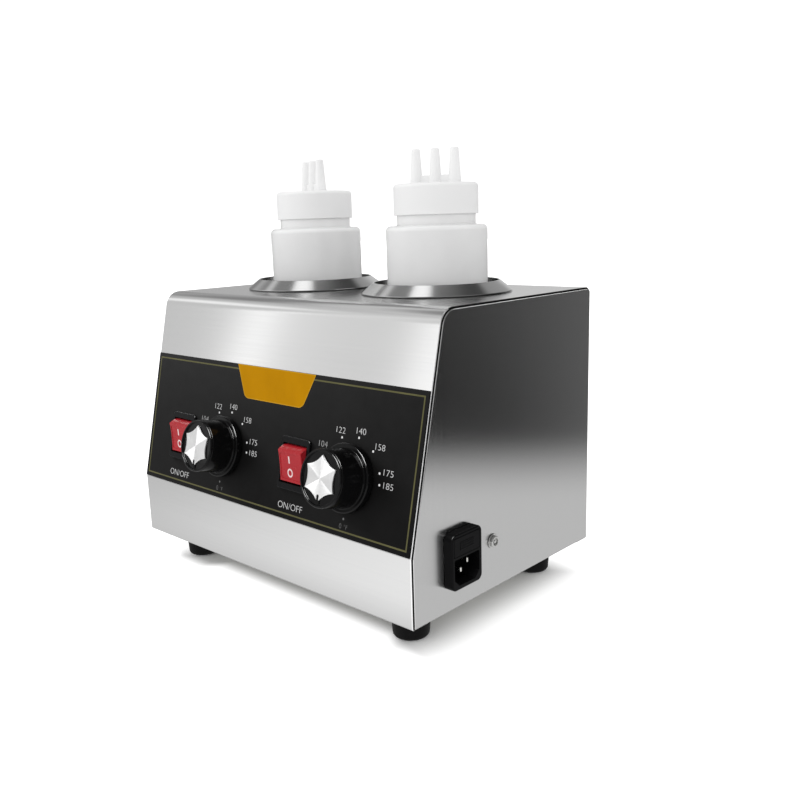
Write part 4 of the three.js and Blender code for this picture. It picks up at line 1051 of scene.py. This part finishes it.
def mirrored_room(sums, turn, height):
    """What reflections see, by the way round and the height in degrees."""
    def patch(around, up, value):
        return sums.times(sums.band(turn, *around), sums.band(height, *up), value)

    share = sums.add(sums.math("DIVIDE", turn, 360.0), 0.5)
    ring = sums.ramp(share, [(angle / 360 + 0.5, value) for angle, value in AROUND])
    front = (-30, 60, 8)
    soft_boxes = sums.add(patch(front, (40.5, 48, 3), 0.6), patch(front, (67.5, 82.5, 2), 1.5))
    window = patch((12, 30, 5), (25, 33, 3), 0.7)
    shadow = patch((-31, -8, 3), (-5, 20, 4), -0.22)
    strips = sums.add(
        sums.times(sums.band(turn, 35.9, 38.1, 0.9), 0.95), sums.times(sums.band(turn, 47.7, 57, 1.0), 0.78),
    )
    strips = sums.times(strips, sums.rise(height, 24, 13))
    dark_back = sums.times(sums.band(turn, -130, -50, 18), sums.rise(height, 60, 84, 0.27, 0.12))
    ceiling = sums.add(sums.math("SUBTRACT", 0.36, dark_back), soft_boxes)
    raised = sums.add(
        sums.times(sums.band(turn, 0, 75, 10), 12.0), sums.times(sums.band(turn, -125, -70, 12), 17.0),
    )
    upwards = sums.rise(sums.math("SUBTRACT", height, raised), 26, 36)
    return sums.add(sums.mix(upwards, ring, ceiling), window, strips, shadow)


def studio_world():
    """An even light on everything, with soft boxes and dark walls that show only in reflections."""
    world = bpy.data.worlds.new("studio")
    world.use_nodes = True
    world.cycles.sampling_method = "NONE"
    nodes, links = world.node_tree.nodes, world.node_tree.links
    nodes.clear()
    sums = Sums(world.node_tree)
    split = nodes.new("ShaderNodeSeparateXYZ")
    links.new(nodes.new("ShaderNodeTexCoord").outputs["Generated"], split.inputs["Vector"])
    x, y, z = split.outputs
    turn = sums.math("DEGREES", sums.math("ARCTAN2", sums.times(y, -1.0), sums.times(x, -1.0)))
    height = sums.math("DEGREES", sums.math("ARCSINE", z))
    ray = nodes.new("ShaderNodeLightPath")
    strength = sums.mix(ray.outputs["Is Glossy Ray"], AMBIENT, mirrored_room(sums, turn, height))
    strength = sums.mix(ray.outputs["Is Camera Ray"], strength, BACKDROP)
    background, out = nodes.new("ShaderNodeBackground"), nodes.new("ShaderNodeOutputWorld")
    links.new(strength, background.inputs["Strength"])
    links.new(background.outputs["Background"], out.inputs["Surface"])
    bpy.context.scene.world = world


def mirrored_paper(sums, x, y):
    """A painted reflection: the glow that reflections see on the paper, bright in front, fading to the left,
    dark further away to the right behind, standing for a dark room.
    """
    front = sums.times(sums.rise(x, -0.42, 0.12), sums.rise(y, -0.09, -0.17))
    lit = sums.times(sums.add(0.72, sums.times(front, 0.48)), sums.rise(x, -1.1, -0.5, 0.5, 1.0))
    turn = sums.math("DEGREES", sums.math("ARCTAN2", sums.add(y, 0.0915), x))
    dark = sums.rise(turn, 48, 66, 0.006, 0.26)
    away = sums.add(sums.times(x, 0.667), sums.times(y, 0.717))
    return sums.mix(sums.rise(away, 0.33, 0.61), lit, dark)


def lifted_paper(sums, x, y):
    """Painted light: a glow added to the paper that the camera sees, all round the object's soft shadow;
    where it fades under the object it paints that shadow's edge over the real one.
    """
    # In front of the feet the added light starts further out, painting the feet's shadows.
    feet = sums.add(sums.band(x, -0.135, -0.09, 0.01), sums.band(x, 0.112, 0.15, 0.01))
    near = sums.add(y, sums.times(feet, 0.012))
    lift = sums.rise(near, -0.058, -0.079, 0.0, 0.75)
    others = ((x, 0.113, 0.175, 0.62), (x, -0.113, -0.15, 0.6), (y, 0.075, 0.116, 0.6))
    for source, start, end, value in others:
        lift = sums.math("MAXIMUM", lift, sums.rise(source, start, end, 0.0, value))
    return lift


def studio_floor():
    """White paper; reflections see a painted glow on it, dark to the right behind, in place of a dark room.
    """
    corners = [(x, y, 0) for x, y, _ in oblong(18, 18)]
    floor = put("floor", corners, [(0, 1, 2, 3)])
    paper = Finish("paper", roughness=0.9, base_color=grey(0.92), specular_ior_level=0.0)
    paper.material.cycles.emission_sampling = "NONE"
    sums = Sums(paper.material.node_tree)
    split = paper.node("ShaderNodeSeparateXYZ")
    paper.links.new(paper.node("ShaderNodeTexCoord").outputs["Object"], split.inputs["Vector"])
    x, y = split.outputs["X"], split.outputs["Y"]
    ray = paper.node("ShaderNodeLightPath")
    glow, lift = paper.node("ShaderNodeEmission"), paper.node("ShaderNodeEmission")
    paper.links.new(mirrored_paper(sums, x, y), glow.inputs["Strength"])
    lifted = sums.times(ray.outputs["Is Camera Ray"], lifted_paper(sums, x, y))
    paper.links.new(lifted, lift.inputs["Strength"])
    both, mix = paper.node("ShaderNodeAddShader"), paper.node("ShaderNodeMixShader")
    paper.links.new(paper.shader.outputs["BSDF"], both.inputs[0])
    paper.links.new(lift.outputs["Emission"], both.inputs[1])
    paper.links.new(ray.outputs["Is Glossy Ray"], mix.inputs["Fac"])
    paper.links.new(both.outputs["Shader"], mix.inputs[1])
    paper.links.new(glow.outputs["Emission"], mix.inputs[2])
    paper.links.new(mix.outputs["Shader"], paper.nodes["Material Output"].inputs["Surface"])
    floor.data.materials.append(paper.material)


def panel_light(name, spot, size, watts):
    """A square light that faces the object."""
    data = bpy.data.lights.new(name, "AREA")
    data.shape, data.size, data.energy = "SQUARE", size, watts
    light = new_object(name, data)
    spot = Vector(spot)
    aim = (Vector(LIGHTS_AIM) - spot).to_track_quat("-Z", "Y")
    light.matrix_world = Matrix.Translation(spot) @ aim.to_matrix().to_4x4()
    light.visible_camera = False
    return light


def shine_on(light, pieces):
    """Keeps a light to some pieces."""
    group = bpy.data.collections.new(light.name)
    for piece in pieces:
        group.objects.link(bpy.data.objects[piece])
    light.light_linking.receiver_collection = group


def make_studio():
    studio_world()
    studio_floor()
    key = panel_light("key", (-1.1, -1.0, 1.3), 1.2, 5)
    key.visible_glossy = False
    for name, spot, size, watts, pieces in HIGHLIGHTS:
        light = panel_light(name, spot, size, watts)
        light.visible_diffuse = False
        shine_on(light, pieces)


make_camera()
make_casing()
make_plate()
make_print()
for side, sign, drift, turn in (("left", -1, 1.6, -19.3), ("right", 1, 0.6, 20.6)):
    place = CASING @ Matrix.Translation((sign * WELL_PITCH + drift, WELL_DEPTH + drift, BOTTLE_UP))
    make_bottle(side, place)
    make_cap(side, place, turn)
    make_knob(side)
    switch = SLOPE @ Matrix.Translation((DIALS[side] - SWITCH_TO_DIAL, DIAL_UP, 0))
    make_bezel(side, switch)
    make_rocker(side, switch)
make_inlet()
make_earth()
dress_cad()
make_studio()
bpy.context.scene.view_settings.view_transform = "Standard"
